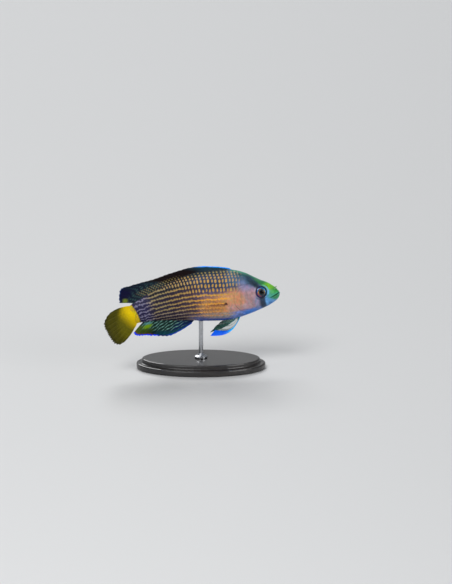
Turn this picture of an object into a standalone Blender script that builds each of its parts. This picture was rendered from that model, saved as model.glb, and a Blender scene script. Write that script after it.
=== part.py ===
"""Life-size still model of a splendid dottyback, a small reef fish, on a display stand.

Every part of the fish is first shaped straight, in the fish's own frame: X runs
forward to the snout tip at 0, Y to the fish's left, Z up from the body's axis. The
finished parts are then bent along one curved spine, so that the tail turns to the
fish's right and droops as in life. Lengths are in metres.
"""

import math

import bmesh
import bpy
import numpy as np
from mathutils import Matrix, Vector

# Driving sizes
STANDARD_LENGTH = 0.090
GAP = 0.0003

# Body outline: share of the standard length from the snout, then the height of the back,
# the depth of the belly and the half width, each as a share of the standard length
BODY_STATIONS = (
    (0.000, 0.000, 0.000, 0.000),
    (0.015, 0.028, 0.036, 0.021),
    (0.044, 0.053, 0.060, 0.040),
    (0.086, 0.077, 0.085, 0.054),
    (0.127, 0.092, 0.104, 0.063),
    (0.169, 0.112, 0.123, 0.070),
    (0.231, 0.141, 0.147, 0.077),
    (0.310, 0.160, 0.171, 0.081),
    (0.420, 0.160, 0.181, 0.080),
    (0.520, 0.151, 0.179, 0.074),
    (0.620, 0.131, 0.167, 0.064),
    (0.720, 0.106, 0.152, 0.051),
    (0.850, 0.080, 0.118, 0.034),
    (1.000, 0.067, 0.072, 0.018),
)
SNOUT_START = 0.0004
HEAD_END = 0.250
TORSO_END = 0.720
RING_SIDES = 40
HEAD_RINGS = 24
TORSO_RINGS = 14
TAIL_RINGS = 8

# Section shapes: how keen the back and the belly are at places along the body; 1 is an
# ellipse, less is blunter and more is a keel
BACK_KEENNESS = (0.92, 1.30)
BACK_SHARPENS = (0.15, 0.75)
BELLY_KEENNESS = (0.98, 0.88, 1.30)
BELLY_BLUNTS = (0.15, 0.35)
BELLY_SHARPENS = (0.48, 0.75)

# Pose: the spine turns to the right and droops from mid body to the caudal fin
BEND_START = 0.40
BEND_END = 1.04
BEND_POWER = 1.4
TAIL_TURN = math.radians(39)
TAIL_DROOP = math.radians(26)
SPINE_RANGE = (-0.1, 1.5)
SPINE_PLACES = 641

# Stand: an oval base with a raised step, and a turned rod up to the belly
ROD_SHARE = 0.515
BASE_LENGTH = 0.076
BASE_WIDTH = 0.044
BASE_THICKNESS = 0.006
BASE_SIDES = 56
BASE_EDGE = 0.0007
STEP_HEIGHT = 0.0026
STEP_WIDTH = 0.0032
AXIS_HEIGHT = 0.045
ROD_RADIUS = 0.0013
ROD_TOP_DEPTH = 0.004
COLLAR_RADIUS = 0.0038
COLLAR_HEIGHT = 0.0028
COLLAR_NECK = (0.62, 0.55)
COLLAR_SHOULDER = 0.30
ROD_SIDES = 20
BELLY_SPAN = (0.40, 0.65)
BELLY_RINGS = 24

# Mouth: the gape slopes down and back from the snout tip, the jaw ends under the eye
MOUTH_START_Z = 0.013
MOUTH_END = 0.066
MOUTH_END_Z = -0.018
JAW_HINGE = 0.112
JAW_HINGE_Z = -0.060
JAW_ANGLE = 0.098
JAW_FLOOR_Z = -0.150
JAW_AHEAD = 0.03
JAW_END = 0.170
JAW_RINGS = 20
MOUTH_GAP = 0.0004
LIP_RADIUS = 0.00050
LIP_TAPER = 0.55
LIP_OFFSET = 0.00052
LIP_SINK = 0.00022
LIP_POINTS = 14
LIP_SAMPLES = 120

# Eyes
EYE_SHARE = 0.121
EYE_Z = 0.0255
EYE_RADIUS = 0.0037
EYE_BULGE = 0.0017
EYE_SINK = 0.0006
EYE_SIDES = 20
EYE_RINGS = 10
ORBIT_RIM = 0.00035
ORBIT_RAISE = 0.0002
ORBIT_STEPS = 24

# Nostrils: a small tube near the lip and a pit before the eye, on each side
NOSTRIL_SHARE = 0.033
NOSTRIL_TURN = math.radians(34)
NOSTRIL_LENGTH = 0.0016
NOSTRIL_RADIUS = 0.00042
NOSTRIL_FLARE = 1.25
NOSTRIL_LEAN = 0.7
NOSTRIL_SUNK = 0.45
NOSTRIL_SIDES = 10
BORE_RADIUS = 0.00018
BORE_START = 0.15
BORE_SIDES = 8
PIT_SHARE = 0.074
PIT_TURN = math.radians(52)
PIT_RADIUS = 0.00040
PIT_SIDES = 10
PIT_RINGS = 6

# Gill covers: a D-shaped plate on each cheek that stands a little proud
GILL_CENTRE = 0.214
GILL_CENTRE_Z = -0.014
GILL_BACK = 0.084
GILL_FRONT = 0.034
GILL_HEIGHT = 0.094
GILL_POINTS = 26
GILL_PROUD = 0.00035
GILL_INNER_Y = 0.0037
GILL_SPAN = (0.13, 0.36)
GILL_RINGS = 14
BLOCK_REACH = 0.02

# Fin thicknesses: membrane at root and margin, and the rays' height over it
ROOT_THICKNESS = 0.0011
MEMBRANE_THICKNESS = 0.0005
MARGIN_THICKNESS = 0.00032
RAY_HEIGHT = 0.00022
RAY_TAPER = 0.8
RAY_NOTCH = 0.035
ROOT_FADES = 0.35
MARGIN_STARTS = 0.75
CLEAR_SPAN = (0.15, 0.85)
CLEAR_RINGS = 44

# Fins of the midline: base start and end, number of rays, then for shares of the base
# the length of the rays as a share of the standard length and their lean in degrees
DORSAL_BASE = (0.315, 0.970)
DORSAL_RAYS = 29
DORSAL_SHARES = (0.00, 0.06, 0.20, 0.45, 0.60, 0.74, 0.88, 1.00)
DORSAL_LENGTHS = (0.016, 0.034, 0.070, 0.116, 0.147, 0.175, 0.178, 0.105)
DORSAL_LEANS = (30, 27, 26, 29, 36, 45, 51, 40)
DORSAL_WAVE = 0.0008
ANAL_BASE = (0.575, 0.945)
ANAL_RAYS = 17
ANAL_SHARES = (0.00, 0.10, 0.25, 0.45, 0.70, 0.90, 1.00)
ANAL_LENGTHS = (0.030, 0.083, 0.132, 0.153, 0.156, 0.143, 0.112)
ANAL_LEANS = (55, 52, 49, 44, 37, 33, 31)
ANAL_WAVE = -0.0007
WAVE_TURNS = 1.3
WAVE_START = 0.1
MEDIAN_ROWS = 5

# Caudal fin
CAUDAL_RAYS = 17
CAUDAL_ROWS = 8
CAUDAL_LENGTH = 0.0208
CAUDAL_CORNER_LOSS = 0.0072
CAUDAL_CORNER_POWER = 5
CAUDAL_SPREAD = math.radians(19)
CAUDAL_SPREAD_POWER = 1.6
CAUDAL_BULGE = 0.0010
CAUDAL_CURL = 0.0009
CAUDAL_CURL_TURN = 2.4
CAUDAL_ROW_POWER = 1.2
CAUDAL_ROOT_SHARE = 0.30
CAUDAL_ROOT_FILL = 0.9

# Pectoral fins: base line on the flank and a fan of rays held a little off the body
PECTORAL_TOP = (0.333, -0.044)
PECTORAL_BOTTOM = (0.345, -0.096)
PECTORAL_RAYS = 17
PECTORAL_ROWS = 5
PECTORAL_LENGTH = 0.0180
PECTORAL_SHORTER = 0.0060
PECTORAL_LONGEST = 0.75
PECTORAL_UP = math.radians(9)
PECTORAL_DOWN = math.radians(-22)
PECTORAL_SPLAY = math.radians(13)
PECTORAL_SINK = 0.0012
PECTORAL_ROOT_IN = 0.0007
PECTORAL_CUP = 0.0012

# Pelvic fins: one spine and five rays, long and pointed, the leading edge bowed. The right one is
# spread and bowed more than the left, which hangs straight down.
PELVIC_SHARE = 0.253
PELVIC_APART = 0.0021
PELVIC_RAYS = 6
PELVIC_ROWS = 8
PELVIC_LENGTH = 0.0207
PELVIC_INNER_LENGTH = 0.0064
PELVIC_TAPER = 2.0
PELVIC_LEAD_DOWN = math.radians(32)
PELVIC_INNER_DOWN = math.radians(12)
PELVIC_SPLAY_RIGHT = math.tan(math.radians(15))
PELVIC_SPLAY_LEFT = math.tan(math.radians(1))
PELVIC_BOW_RIGHT = 0.0045
PELVIC_BOW_LEFT = 0.0019
PELVIC_SINK = 0.0012
PELVIC_ROOT_WIDTH = 0.0022
PELVIC_FOLD = 0.0006

MODEL = "splendid_dottyback"
WORKSHOP = "cutters"
SHARP_ANGLE = math.radians(35)
RIM_ANGLE = math.radians(60)
WELD = 1e-6

SKIN_COLOUR = "#5c6a78"
HEAD_COLOUR = "#a08a98"
JAW_COLOUR = "#4f9f8c"
EYE_COLOUR = "#14204a"
DORSAL_COLOUR = "#1f3a55"
ANAL_COLOUR = "#3c5a3c"
CAUDAL_COLOUR = "#b09a06"
PECTORAL_COLOUR = "#c08a48"
PELVIC_COLOUR = "#1f74d8"
BASE_COLOUR = "#1c1c1e"
ROD_COLOUR = "#b9bcc0"
SKIN_ROUGHNESS = 0.35
FIN_ROUGHNESS = 0.45
EYE_ROUGHNESS = 0.08
BASE_ROUGHNESS = 0.35
ROD_ROUGHNESS = 0.25


def linear(hex_colour):
    """A hex colour as linear red, green, blue and full alpha."""
    parts = [int(hex_colour[i : i + 2], 16) / 255 for i in (1, 3, 5)]
    return [c / 12.92 if c <= 0.04045 else ((c + 0.055) / 1.055) ** 2.4 for c in parts] + [1.0]


def finish(obj, colour, roughness, metallic=0.0):
    """Gives a finished part its material and moves it to the model's collection."""
    material = bpy.data.materials.new(obj.name)
    material.use_nodes = True
    shader = material.node_tree.nodes["Principled BSDF"]
    shader.inputs["Base Color"].default_value = linear(colour)
    shader.inputs["Roughness"].default_value = roughness
    shader.inputs["Metallic"].default_value = metallic
    obj.data.materials.clear()
    obj.data.materials.append(material)
    obj.data.shade_smooth()
    obj.data.set_sharp_from_angle(angle=SHARP_ANGLE)
    collection(WORKSHOP).objects.unlink(obj)
    collection(MODEL).objects.link(obj)


def collection(name):
    """The scene's collection of that name, made at its first use."""
    if name not in bpy.data.collections:
        bpy.context.scene.collection.children.link(bpy.data.collections.new(name))
    return bpy.data.collections[name]


def new_object(name, mesh_or_curve):
    """An object that starts in the workshop, where pieces wait to be joined or cut away."""
    obj = bpy.data.objects.new(name, mesh_or_curve)
    collection(WORKSHOP).objects.link(obj)
    return obj


def object_from(name, bm):
    """A mesh object from a bmesh, with its faces pointing out."""
    bmesh.ops.recalc_face_normals(bm, faces=bm.faces)
    mesh = bpy.data.meshes.new(name)
    bm.to_mesh(mesh)
    bm.free()
    return new_object(name, mesh)


def smooth_curve(x, places, values):
    """A smooth curve through the given values, by cubic pieces."""
    places = np.asarray(places, float)
    values = np.asarray(values, float)
    slopes = np.gradient(values, places)
    i = np.clip(np.searchsorted(places, x) - 1, 0, len(places) - 2)
    width = places[i + 1] - places[i]
    t = (x - places[i]) / width
    rise = values[i + 1] - values[i]
    bend_in = slopes[i] * width - rise
    bend_out = rise - slopes[i + 1] * width
    return values[i] + t * rise + t * (1 - t) * ((1 - t) * bend_in + t * bend_out)


def smooth_step(x, low, high):
    """0 below low, 1 above high, and a smooth step between them."""
    t = np.clip((x - low) / (high - low), 0, 1)
    return t * t * (3 - 2 * t)


def body_size(share):
    """Height of the back, depth of the belly and half width at a share, in metres.

    The stations are read against the square root of the share, which rounds the snout.
    """
    stations = np.array(BODY_STATIONS)
    roots = np.sqrt(stations[:, 0])
    return [STANDARD_LENGTH * smooth_curve(np.sqrt(share), roots, stations[:, k]) for k in (1, 2, 3)]


def section_keenness(share, turn):
    """How sharp a section is at its top and bottom: over 1 is a keel, under 1 is blunt."""
    blunt, keen = BACK_KEENNESS
    top = blunt + (keen - blunt) * smooth_step(share, *BACK_SHARPENS)
    front, middle, rear = BELLY_KEENNESS
    bottom = front + (middle - front) * smooth_step(share, *BELLY_BLUNTS)
    bottom += (rear - middle) * smooth_step(share, *BELLY_SHARPENS)
    return np.where(np.cos(turn) > 0, top, bottom)


def body_point(share, turn, swell=0.0):
    """A point of the skin: turn is 0 at the back's midline and grows towards the left."""
    back, belly, half_width = body_size(share)
    half_height = (back + belly) / 2
    side = np.sin(turn)
    width = half_width + swell
    y = width * np.sign(side) * np.abs(side) ** section_keenness(share, turn)
    z = (back - belly) / 2 + (half_height + swell) * np.cos(turn)
    return np.array([-share * STANDARD_LENGTH, float(y), float(z)])


def turn_at_height(share, z):
    """The turn on the left side at which the section passes height z."""
    back, belly, _ = body_size(share)
    return math.acos(max(-1.0, min(1.0, (z - (back - belly) / 2) / ((back + belly) / 2))))


def skin_frame(share, turn):
    """A point of the skin with its outward normal and the direction to the tail along it."""
    step = 1e-3
    point = Vector(body_point(share, turn))
    along = Vector(body_point(share + step, turn)) - Vector(body_point(share - step, turn))
    around = Vector(body_point(share, turn + step)) - Vector(body_point(share, turn - step))
    outward = along.cross(around).normalized()
    if outward.y * point.y + outward.z * point.z < 0:
        outward.negate()
    return point, outward, along.normalized()


def body_length(name, start, end, rings, swell=0.0):
    """A closed length of the body between two shares, as a loft of sections."""
    bm = bmesh.new()
    loops = []
    for root in np.linspace(math.sqrt(start), math.sqrt(end), rings):
        share = root * root
        turns = [2 * math.pi * k / RING_SIDES for k in range(RING_SIDES)]
        loops.append([bm.verts.new(body_point(share, turn, swell)) for turn in turns])
    for front, rear in zip(loops, loops[1:]):
        for k in range(RING_SIDES):
            after = (k + 1) % RING_SIDES
            bm.faces.new((front[k], front[after], rear[after], rear[k]))
    bm.faces.new(loops[0])
    bm.faces.new(loops[-1])
    return object_from(name, bm)


def prism(name, outline, low_y, high_y):
    """A side-view outline of (x, z) points, extruded from low_y to high_y."""
    bm = bmesh.new()
    face = bm.faces.new([bm.verts.new((x, low_y, z)) for x, z in outline])
    grown = bmesh.ops.extrude_face_region(bm, geom=[face])["geom"]
    moved = [item for item in grown if isinstance(item, bmesh.types.BMVert)]
    bmesh.ops.translate(bm, verts=moved, vec=(0, high_y - low_y, 0))
    return object_from(name, bm)


def aimed(point, outward, forward_hint):
    """A matrix at a point whose Z axis is outward and whose X axis is near the hint."""
    z_axis = outward.normalized()
    x_axis = (forward_hint - z_axis * forward_hint.dot(z_axis)).normalized()
    y_axis = z_axis.cross(x_axis)
    turned = Matrix((x_axis, y_axis, z_axis)).transposed()
    return Matrix.Translation(point) @ turned.to_4x4()


def ellipsoid(name, place, radius, bulge, sides=EYE_SIDES, rings=EYE_RINGS):
    """A sphere flattened along the place's Z axis, as an eye or a round pit."""
    bm = bmesh.new()
    bmesh.ops.create_uvsphere(bm, u_segments=sides, v_segments=rings, radius=1.0)
    bmesh.ops.scale(bm, vec=(radius, radius, bulge), verts=bm.verts)
    bmesh.ops.transform(bm, matrix=place, verts=bm.verts)
    return object_from(name, bm)


def cone(name, place, low_radius, high_radius, height, sides):
    """A closed cone or cylinder that starts at the place and rises along its Z axis."""
    bm = bmesh.new()
    bmesh.ops.create_cone(
        bm, cap_ends=True, segments=sides, radius1=low_radius, radius2=high_radius, depth=height
    )
    lift = Matrix.Translation((0, 0, height / 2))
    bmesh.ops.transform(bm, matrix=place @ lift, verts=bm.verts)
    return object_from(name, bm)


def tube(name, points, radii, roundness=2):
    """A tube through points, each with its own radius, as a closed mesh."""
    curve = bpy.data.curves.new(name, "CURVE")
    curve.dimensions = "3D"
    curve.bevel_depth = 1.0
    curve.bevel_resolution = roundness
    curve.use_fill_caps = True
    spline = curve.splines.new("POLY")
    spline.points.add(len(points) - 1)
    for knot, point, radius in zip(spline.points, points, radii):
        knot.co = (*point, 1.0)
        knot.radius = radius
    source = new_object(name + "_path", curve)
    bpy.context.view_layer.update()
    graph = bpy.context.evaluated_depsgraph_get()
    mesh = bpy.data.meshes.new_from_object(source.evaluated_get(graph))
    bm = bmesh.new()
    bm.from_mesh(mesh)
    bmesh.ops.remove_doubles(bm, verts=bm.verts, dist=WELD)
    bpy.data.objects.remove(source)
    return object_from(name, bm)


def combine(obj, operation, others):
    """One Boolean of obj with closed mesh objects, applied; the others are then removed."""
    group = bpy.data.collections.new("boolean_pieces")
    for other in others:
        group.objects.link(other)
    modifier = obj.modifiers.new("combine", "BOOLEAN")
    modifier.operation = operation
    modifier.operand_type = "COLLECTION"
    modifier.collection = group
    modifier.solver = "EXACT"
    bpy.context.view_layer.update()
    graph = bpy.context.evaluated_depsgraph_get()
    mesh = bpy.data.meshes.new_from_object(obj.evaluated_get(graph))
    obj.modifiers.clear()
    obj.data = mesh
    for other in others:
        bpy.data.objects.remove(other)
    bpy.data.collections.remove(group)
    keep_largest(obj)


def keep_largest(obj):
    """Leaves only the closed surface that holds the most volume."""
    bm = bmesh.new()
    bm.from_mesh(obj.data)
    left = set(bm.faces)
    shells = []
    while left:
        shell = set()
        queue = [left.pop()]
        while queue:
            face = queue.pop()
            shell.add(face)
            near = {other for edge in face.edges for other in edge.link_faces} & left
            left -= near
            queue.extend(near)
        shells.append(shell)
    if len(shells) > 1:
        shells.sort(key=shell_volume)
        dropped = [face for shell in shells[:-1] for face in shell]
        bmesh.ops.delete(bm, geom=dropped, context="FACES")
    bm.to_mesh(obj.data)
    bm.free()


def shell_volume(faces):
    """The volume inside a closed set of faces, by fans from the origin."""
    total = 0.0
    for face in faces:
        corners = [vert.co for vert in face.verts]
        for second, third in zip(corners[1:], corners[2:]):
            total += corners[0].dot(second.cross(third)) / 6
    return abs(total)


def mouth_height(share):
    """Height of the mouth's line at a share, in metres."""
    rise = (MOUTH_END_Z - MOUTH_START_Z) / MOUTH_END
    return STANDARD_LENGTH * (MOUTH_START_Z + rise * share)


def jaw_outline(inset):
    """The lower jaw's region in side view, moved in from its edges by an inset."""
    corners = (
        (-JAW_AHEAD, mouth_height(-JAW_AHEAD) / STANDARD_LENGTH),
        (MOUTH_END, MOUTH_END_Z),
        (JAW_HINGE, JAW_HINGE_Z),
        (JAW_ANGLE, JAW_FLOOR_Z),
        (-JAW_AHEAD, JAW_FLOOR_Z),
    )
    metres = [(-share * STANDARD_LENGTH, z * STANDARD_LENGTH) for share, z in corners]
    front, mouth_corner, hinge, angle, floor = metres
    return [
        (front[0], front[1] - inset),
        (mouth_corner[0], mouth_corner[1] - inset),
        (hinge[0] + inset, hinge[1] - inset),
        (angle[0] + inset, angle[1]),
        floor,
    ]


def lip(name, side_of_mouth):
    """A lip: a tube along the mouth's line, from one corner round the snout to the other.

    Its middle lies where the snout is first tall enough to carry the line.
    """
    shares = np.linspace(SNOUT_START, MOUTH_END, LIP_SAMPLES)
    reached = body_size(shares)[0] > mouth_height(shares) + side_of_mouth * LIP_OFFSET
    start = shares[np.argmax(reached)]
    path = []
    for k in range(-LIP_SAMPLES, LIP_SAMPLES + 1):
        share = start + (MOUTH_END - start) * (k / LIP_SAMPLES) ** 2
        z = mouth_height(share) + side_of_mouth * LIP_OFFSET
        skin = body_point(share, turn_at_height(share, z))
        path.append((skin[0], math.copysign(skin[1], k), z))
    path = np.array(path)
    path[LIP_SAMPLES, 1] = 0.0
    steps = np.linalg.norm(np.diff(path, axis=0), axis=1)
    places = np.concatenate([[0], np.cumsum(steps)])
    even = np.linspace(0, places[-1], 2 * LIP_POINTS + 1)
    points = np.stack([np.interp(even, places, path[:, k]) for k in range(3)], axis=1)
    from_middle = np.abs(np.linspace(-1, 1, len(even)))
    points[:, 0] -= LIP_SINK * (1 - from_middle)
    points[:, 1] -= LIP_SINK * np.sign(np.round(points[:, 1], 5)) * from_middle
    return tube(name, points, LIP_RADIUS * (1 - LIP_TAPER * from_middle**2))


def eye_place(side, sink):
    """Where an eye sits: its matrix, with Z outward through the pupil."""
    turn = turn_at_height(EYE_SHARE, EYE_Z * STANDARD_LENGTH) * side
    point, outward, backward = skin_frame(EYE_SHARE, turn)
    return aimed(point - outward * sink, outward, -backward)


def orbit_rim(name, side):
    """A low rounded rim of skin round the eye."""
    place = eye_place(side, EYE_SINK - ORBIT_RAISE)
    points = []
    for k in range(ORBIT_STEPS + 1):
        angle = 2 * math.pi * k / ORBIT_STEPS
        across, up = EYE_RADIUS * math.cos(angle), EYE_RADIUS * math.sin(angle)
        points.append(place @ Vector((across, up, ORBIT_RAISE)))
    return tube(name, points, [ORBIT_RIM] * (ORBIT_STEPS + 1), 1)


def nostril_place(side, start):
    """Where a nostril's tube starts, as a share of its length out from the skin."""
    point, outward, backward = skin_frame(NOSTRIL_SHARE, NOSTRIL_TURN * side)
    lean = (outward - backward * NOSTRIL_LEAN).normalized()
    return aimed(point + lean * NOSTRIL_LENGTH * start, lean, -backward)


def nostril_tube(name, side):
    """The front nostril's short tube, wider at its foot."""
    place = nostril_place(side, -NOSTRIL_SUNK)
    foot = NOSTRIL_RADIUS * NOSTRIL_FLARE
    return cone(name, place, foot, NOSTRIL_RADIUS, NOSTRIL_LENGTH, NOSTRIL_SIDES)


def nostril_bore(name, side):
    """The blind hole in a nostril's tube."""
    place = nostril_place(side, BORE_START)
    return cone(name, place, BORE_RADIUS, BORE_RADIUS, NOSTRIL_LENGTH, BORE_SIDES)


def nostril_pit(name, side):
    """The rear nostril, a plain pit ahead of the eye."""
    point, outward, backward = skin_frame(PIT_SHARE, PIT_TURN * side)
    place = aimed(point, outward, -backward)
    return ellipsoid(name, place, PIT_RADIUS, PIT_RADIUS, PIT_SIDES, PIT_RINGS)


def gill_outline(grow):
    """The gill cover in side view: two half ellipses, the longer one to the rear."""
    points = []
    for k in range(GILL_POINTS):
        angle = 2 * math.pi * k / GILL_POINTS
        reach = GILL_BACK if math.cos(angle) > 0 else GILL_FRONT
        share = GILL_CENTRE * STANDARD_LENGTH + (reach * STANDARD_LENGTH + grow) * math.cos(angle)
        z = GILL_CENTRE_Z * STANDARD_LENGTH + (GILL_HEIGHT * STANDARD_LENGTH + grow) * math.sin(angle)
        points.append((-share, z))
    return points


def gill_prism(name, side, grow):
    """The block that a gill cover is cut by, on one side of the head."""
    inner = GILL_INNER_Y - grow
    low, high = (inner, BLOCK_REACH) if side > 0 else (-BLOCK_REACH, -inner)
    return prism(name, gill_outline(grow), low, high)


def gill_cover(name, side):
    """The plate: the skin, grown a little, where it lies inside the gill's outline."""
    cover = body_length(name, *GILL_SPAN, GILL_RINGS, GILL_PROUD)
    combine(cover, "INTERSECT", [gill_prism(name + "_block", side, 0.0)])
    return cover


def build_head():
    """The head, parted from the jaw at the mouth, with lip, orbits, nostrils and gill seats."""
    head = body_length("head", SNOUT_START, HEAD_END - GAP / 2 / STANDARD_LENGTH, HEAD_RINGS)
    forms = [lip("upper_lip", 1)]
    for side in (1, -1):
        forms += [orbit_rim("rim", side), nostril_tube("nostril", side)]
    combine(head, "UNION", forms)
    cuts = [prism("jaw_block", jaw_outline(0.0), -BLOCK_REACH, BLOCK_REACH)]
    for side in (1, -1):
        socket = eye_place(side, EYE_SINK)
        cuts.append(ellipsoid("socket", socket, EYE_RADIUS + GAP, EYE_BULGE + GAP))
        cuts.append(gill_prism("gill_seat", side, GAP))
        cuts += [nostril_bore("bore", side), nostril_pit("pit", side)]
    combine(head, "DIFFERENCE", cuts)
    return head


def build_jaw():
    """The lower jaw with its lip: the front of the head, under the mouth's line."""
    jaw = body_length("lower_jaw", SNOUT_START, JAW_END, JAW_RINGS)
    combine(jaw, "UNION", [lip("lower_lip", -1)])
    block = prism("jaw_block", jaw_outline(MOUTH_GAP), -BLOCK_REACH, BLOCK_REACH)
    combine(jaw, "INTERSECT", [block])
    return jaw


def build_torso():
    """The body from the head to the tail stalk, with seats for the gill covers' rear parts."""
    start = HEAD_END + GAP / 2 / STANDARD_LENGTH
    torso = body_length("torso", start, TORSO_END - GAP / 2 / STANDARD_LENGTH, TORSO_RINGS)
    combine(torso, "DIFFERENCE", [gill_prism("gill_seat", side, GAP) for side in (1, -1)])
    return torso


def build_tail_stalk():
    """The slender rear of the body, up to the tail fin."""
    start = TORSO_END + GAP / 2 / STANDARD_LENGTH
    return body_length("tail_stalk", start, 1.0, TAIL_RINGS)


def ray_ridge(position):
    """1 on a ray and 0 half way between two rays, for a position counted in rays."""
    return 1 - 2 * np.abs(position - np.round(position))


def vane(name, centres, half_thickness):
    """A thin closed vane on a grid of centre points, split alike on both faces."""
    across = np.gradient(centres, axis=0)
    along = np.gradient(centres, axis=1)
    normals = np.cross(across, along)
    normals /= np.linalg.norm(normals, axis=2, keepdims=True)
    offset = normals * half_thickness[..., None]
    columns, rows = half_thickness.shape
    bm = bmesh.new()
    faces = []
    for sheet in (centres + offset, centres - offset):
        faces.append([[bm.verts.new(sheet[i, j]) for j in range(rows)] for i in range(columns)])
    for sheet in faces:
        for i in range(columns - 1):
            for j in range(rows - 1):
                bm.faces.new((sheet[i][j], sheet[i + 1][j], sheet[i + 1][j + 1]))
                bm.faces.new((sheet[i][j], sheet[i + 1][j + 1], sheet[i][j + 1]))
    rim = [(i, 0) for i in range(columns)]
    rim += [(columns - 1, j) for j in range(1, rows)]
    rim += [(i, rows - 1) for i in range(columns - 2, -1, -1)]
    rim += [(0, j) for j in range(rows - 2, 0, -1)]
    first, second = faces
    for (i, j), (k, m) in zip(rim, rim[1:] + rim[:1]):
        bm.faces.new((first[i][j], first[k][m], second[k][m]))
        bm.faces.new((first[i][j], second[k][m], second[i][j]))
    return object_from(name, bm)


def fin_thickness(positions, heights, root=ROOT_THICKNESS):
    """Half thickness of a fin over rays (columns) and heights from root to margin (rows)."""
    fade = smooth_step(heights, 0.0, ROOT_FADES)[None, :]
    membrane = root * (1 - fade) + MEMBRANE_THICKNESS * fade
    thin = smooth_step(heights, MARGIN_STARTS, 1.0)[None, :]
    membrane = membrane * (1 - thin) + MARGIN_THICKNESS * thin
    rays = RAY_HEIGHT * 2 * ray_ridge(positions)[:, None] * (1 - RAY_TAPER * heights[None, :])
    return (membrane + rays) / 2


def median_fin(name, base, rays, shares, lengths, leans, wave, up):
    """The dorsal fin (up is 1) or the anal fin (up is -1), its rays leaning to the tail."""
    columns = 2 * (rays - 1) + 1
    u = np.linspace(0, 1, columns)
    v = np.linspace(0, 1, MEDIAN_ROWS + 1)
    position = u * (rays - 1)
    notch = 1 - RAY_NOTCH * (1 - ray_ridge(position))
    length = STANDARD_LENGTH * smooth_curve(u, shares, lengths) * notch
    lean = np.radians(smooth_curve(u, shares, leans))
    share = base[0] + (base[1] - base[0]) * u
    side = 0 if up > 0 else 1
    root_z = up * (np.array([body_size(s)[side] for s in share]) + GAP)
    slope = np.arctan(np.gradient(root_z, share * STANDARD_LENGTH))
    back = length[:, None] * np.cos(lean)[:, None] * v
    rise = up * length[:, None] * np.sin(lean)[:, None] * v
    x = -(share * STANDARD_LENGTH)[:, None] - back * np.cos(slope)[:, None]
    x += rise * np.sin(slope)[:, None]
    z = root_z[:, None] + back * np.sin(slope)[:, None] + rise * np.cos(slope)[:, None]
    y = wave * np.sin(2 * math.pi * (WAVE_TURNS * u + WAVE_START))[:, None] * v * v
    return vane(name, np.stack([x, y, z], axis=2), fin_thickness(position, v))


def dorsal_fin():
    """The long low fin of the back, which rises to a soft lobe at its rear."""
    rays = (DORSAL_SHARES, DORSAL_LENGTHS, DORSAL_LEANS)
    return median_fin("dorsal_fin", DORSAL_BASE, DORSAL_RAYS, *rays, DORSAL_WAVE, 1)


def anal_fin():
    """The shorter fin under the rear of the body."""
    rays = (ANAL_SHARES, ANAL_LENGTHS, ANAL_LEANS)
    return median_fin("anal_fin", ANAL_BASE, ANAL_RAYS, *rays, ANAL_WAVE, -1)


def caudal_fin():
    """The tail fin: a rounded fan that carries on the tail's end at full thickness."""
    columns = 2 * (CAUDAL_RAYS - 1) + 1
    w = np.linspace(1, -1, columns)
    v = np.linspace(0, 1, CAUDAL_ROWS + 1) ** CAUDAL_ROW_POWER
    position = (1 - w) / 2 * (CAUDAL_RAYS - 1)
    back, belly, half_width = body_size(1.0)
    half_height = (back + belly) / 2
    root_z = (back - belly) / 2 + half_height * w
    length = CAUDAL_LENGTH - CAUDAL_CORNER_LOSS * np.abs(w) ** CAUDAL_CORNER_POWER
    length = length * (1 - RAY_NOTCH * (1 - ray_ridge(position)))
    angle = CAUDAL_SPREAD * np.sign(w) * np.abs(w) ** CAUDAL_SPREAD_POWER
    x = -(STANDARD_LENGTH + GAP) - (length * np.cos(angle))[:, None] * v
    z = root_z[:, None] + (length * np.sin(angle))[:, None] * v
    z += CAUDAL_BULGE * (w * np.abs(w))[:, None] * np.sin(math.pi * v)
    y = CAUDAL_CURL * np.sin(CAUDAL_CURL_TURN * w)[:, None] * v * v
    keen = section_keenness(1.0, 0.0)
    root_half = half_width * (1 - w * w) ** (float(keen) / 2)
    fade = (1 - smooth_step(v, 0.0, CAUDAL_ROOT_SHARE))[None, :]
    half = fin_thickness(position, v, MEMBRANE_THICKNESS)
    half += CAUDAL_ROOT_FILL * root_half[:, None] * fade
    half[:, 0] = np.maximum(root_half, MEMBRANE_THICKNESS / 2)
    return vane("caudal_fin", np.stack([x, y, z], axis=2), half)


def clear_of_body(fin):
    """Cuts a fin's sunken root back to the skin, less the gap."""
    combine(fin, "DIFFERENCE", [body_length("grown_body", *CLEAR_SPAN, CLEAR_RINGS, GAP)])


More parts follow.
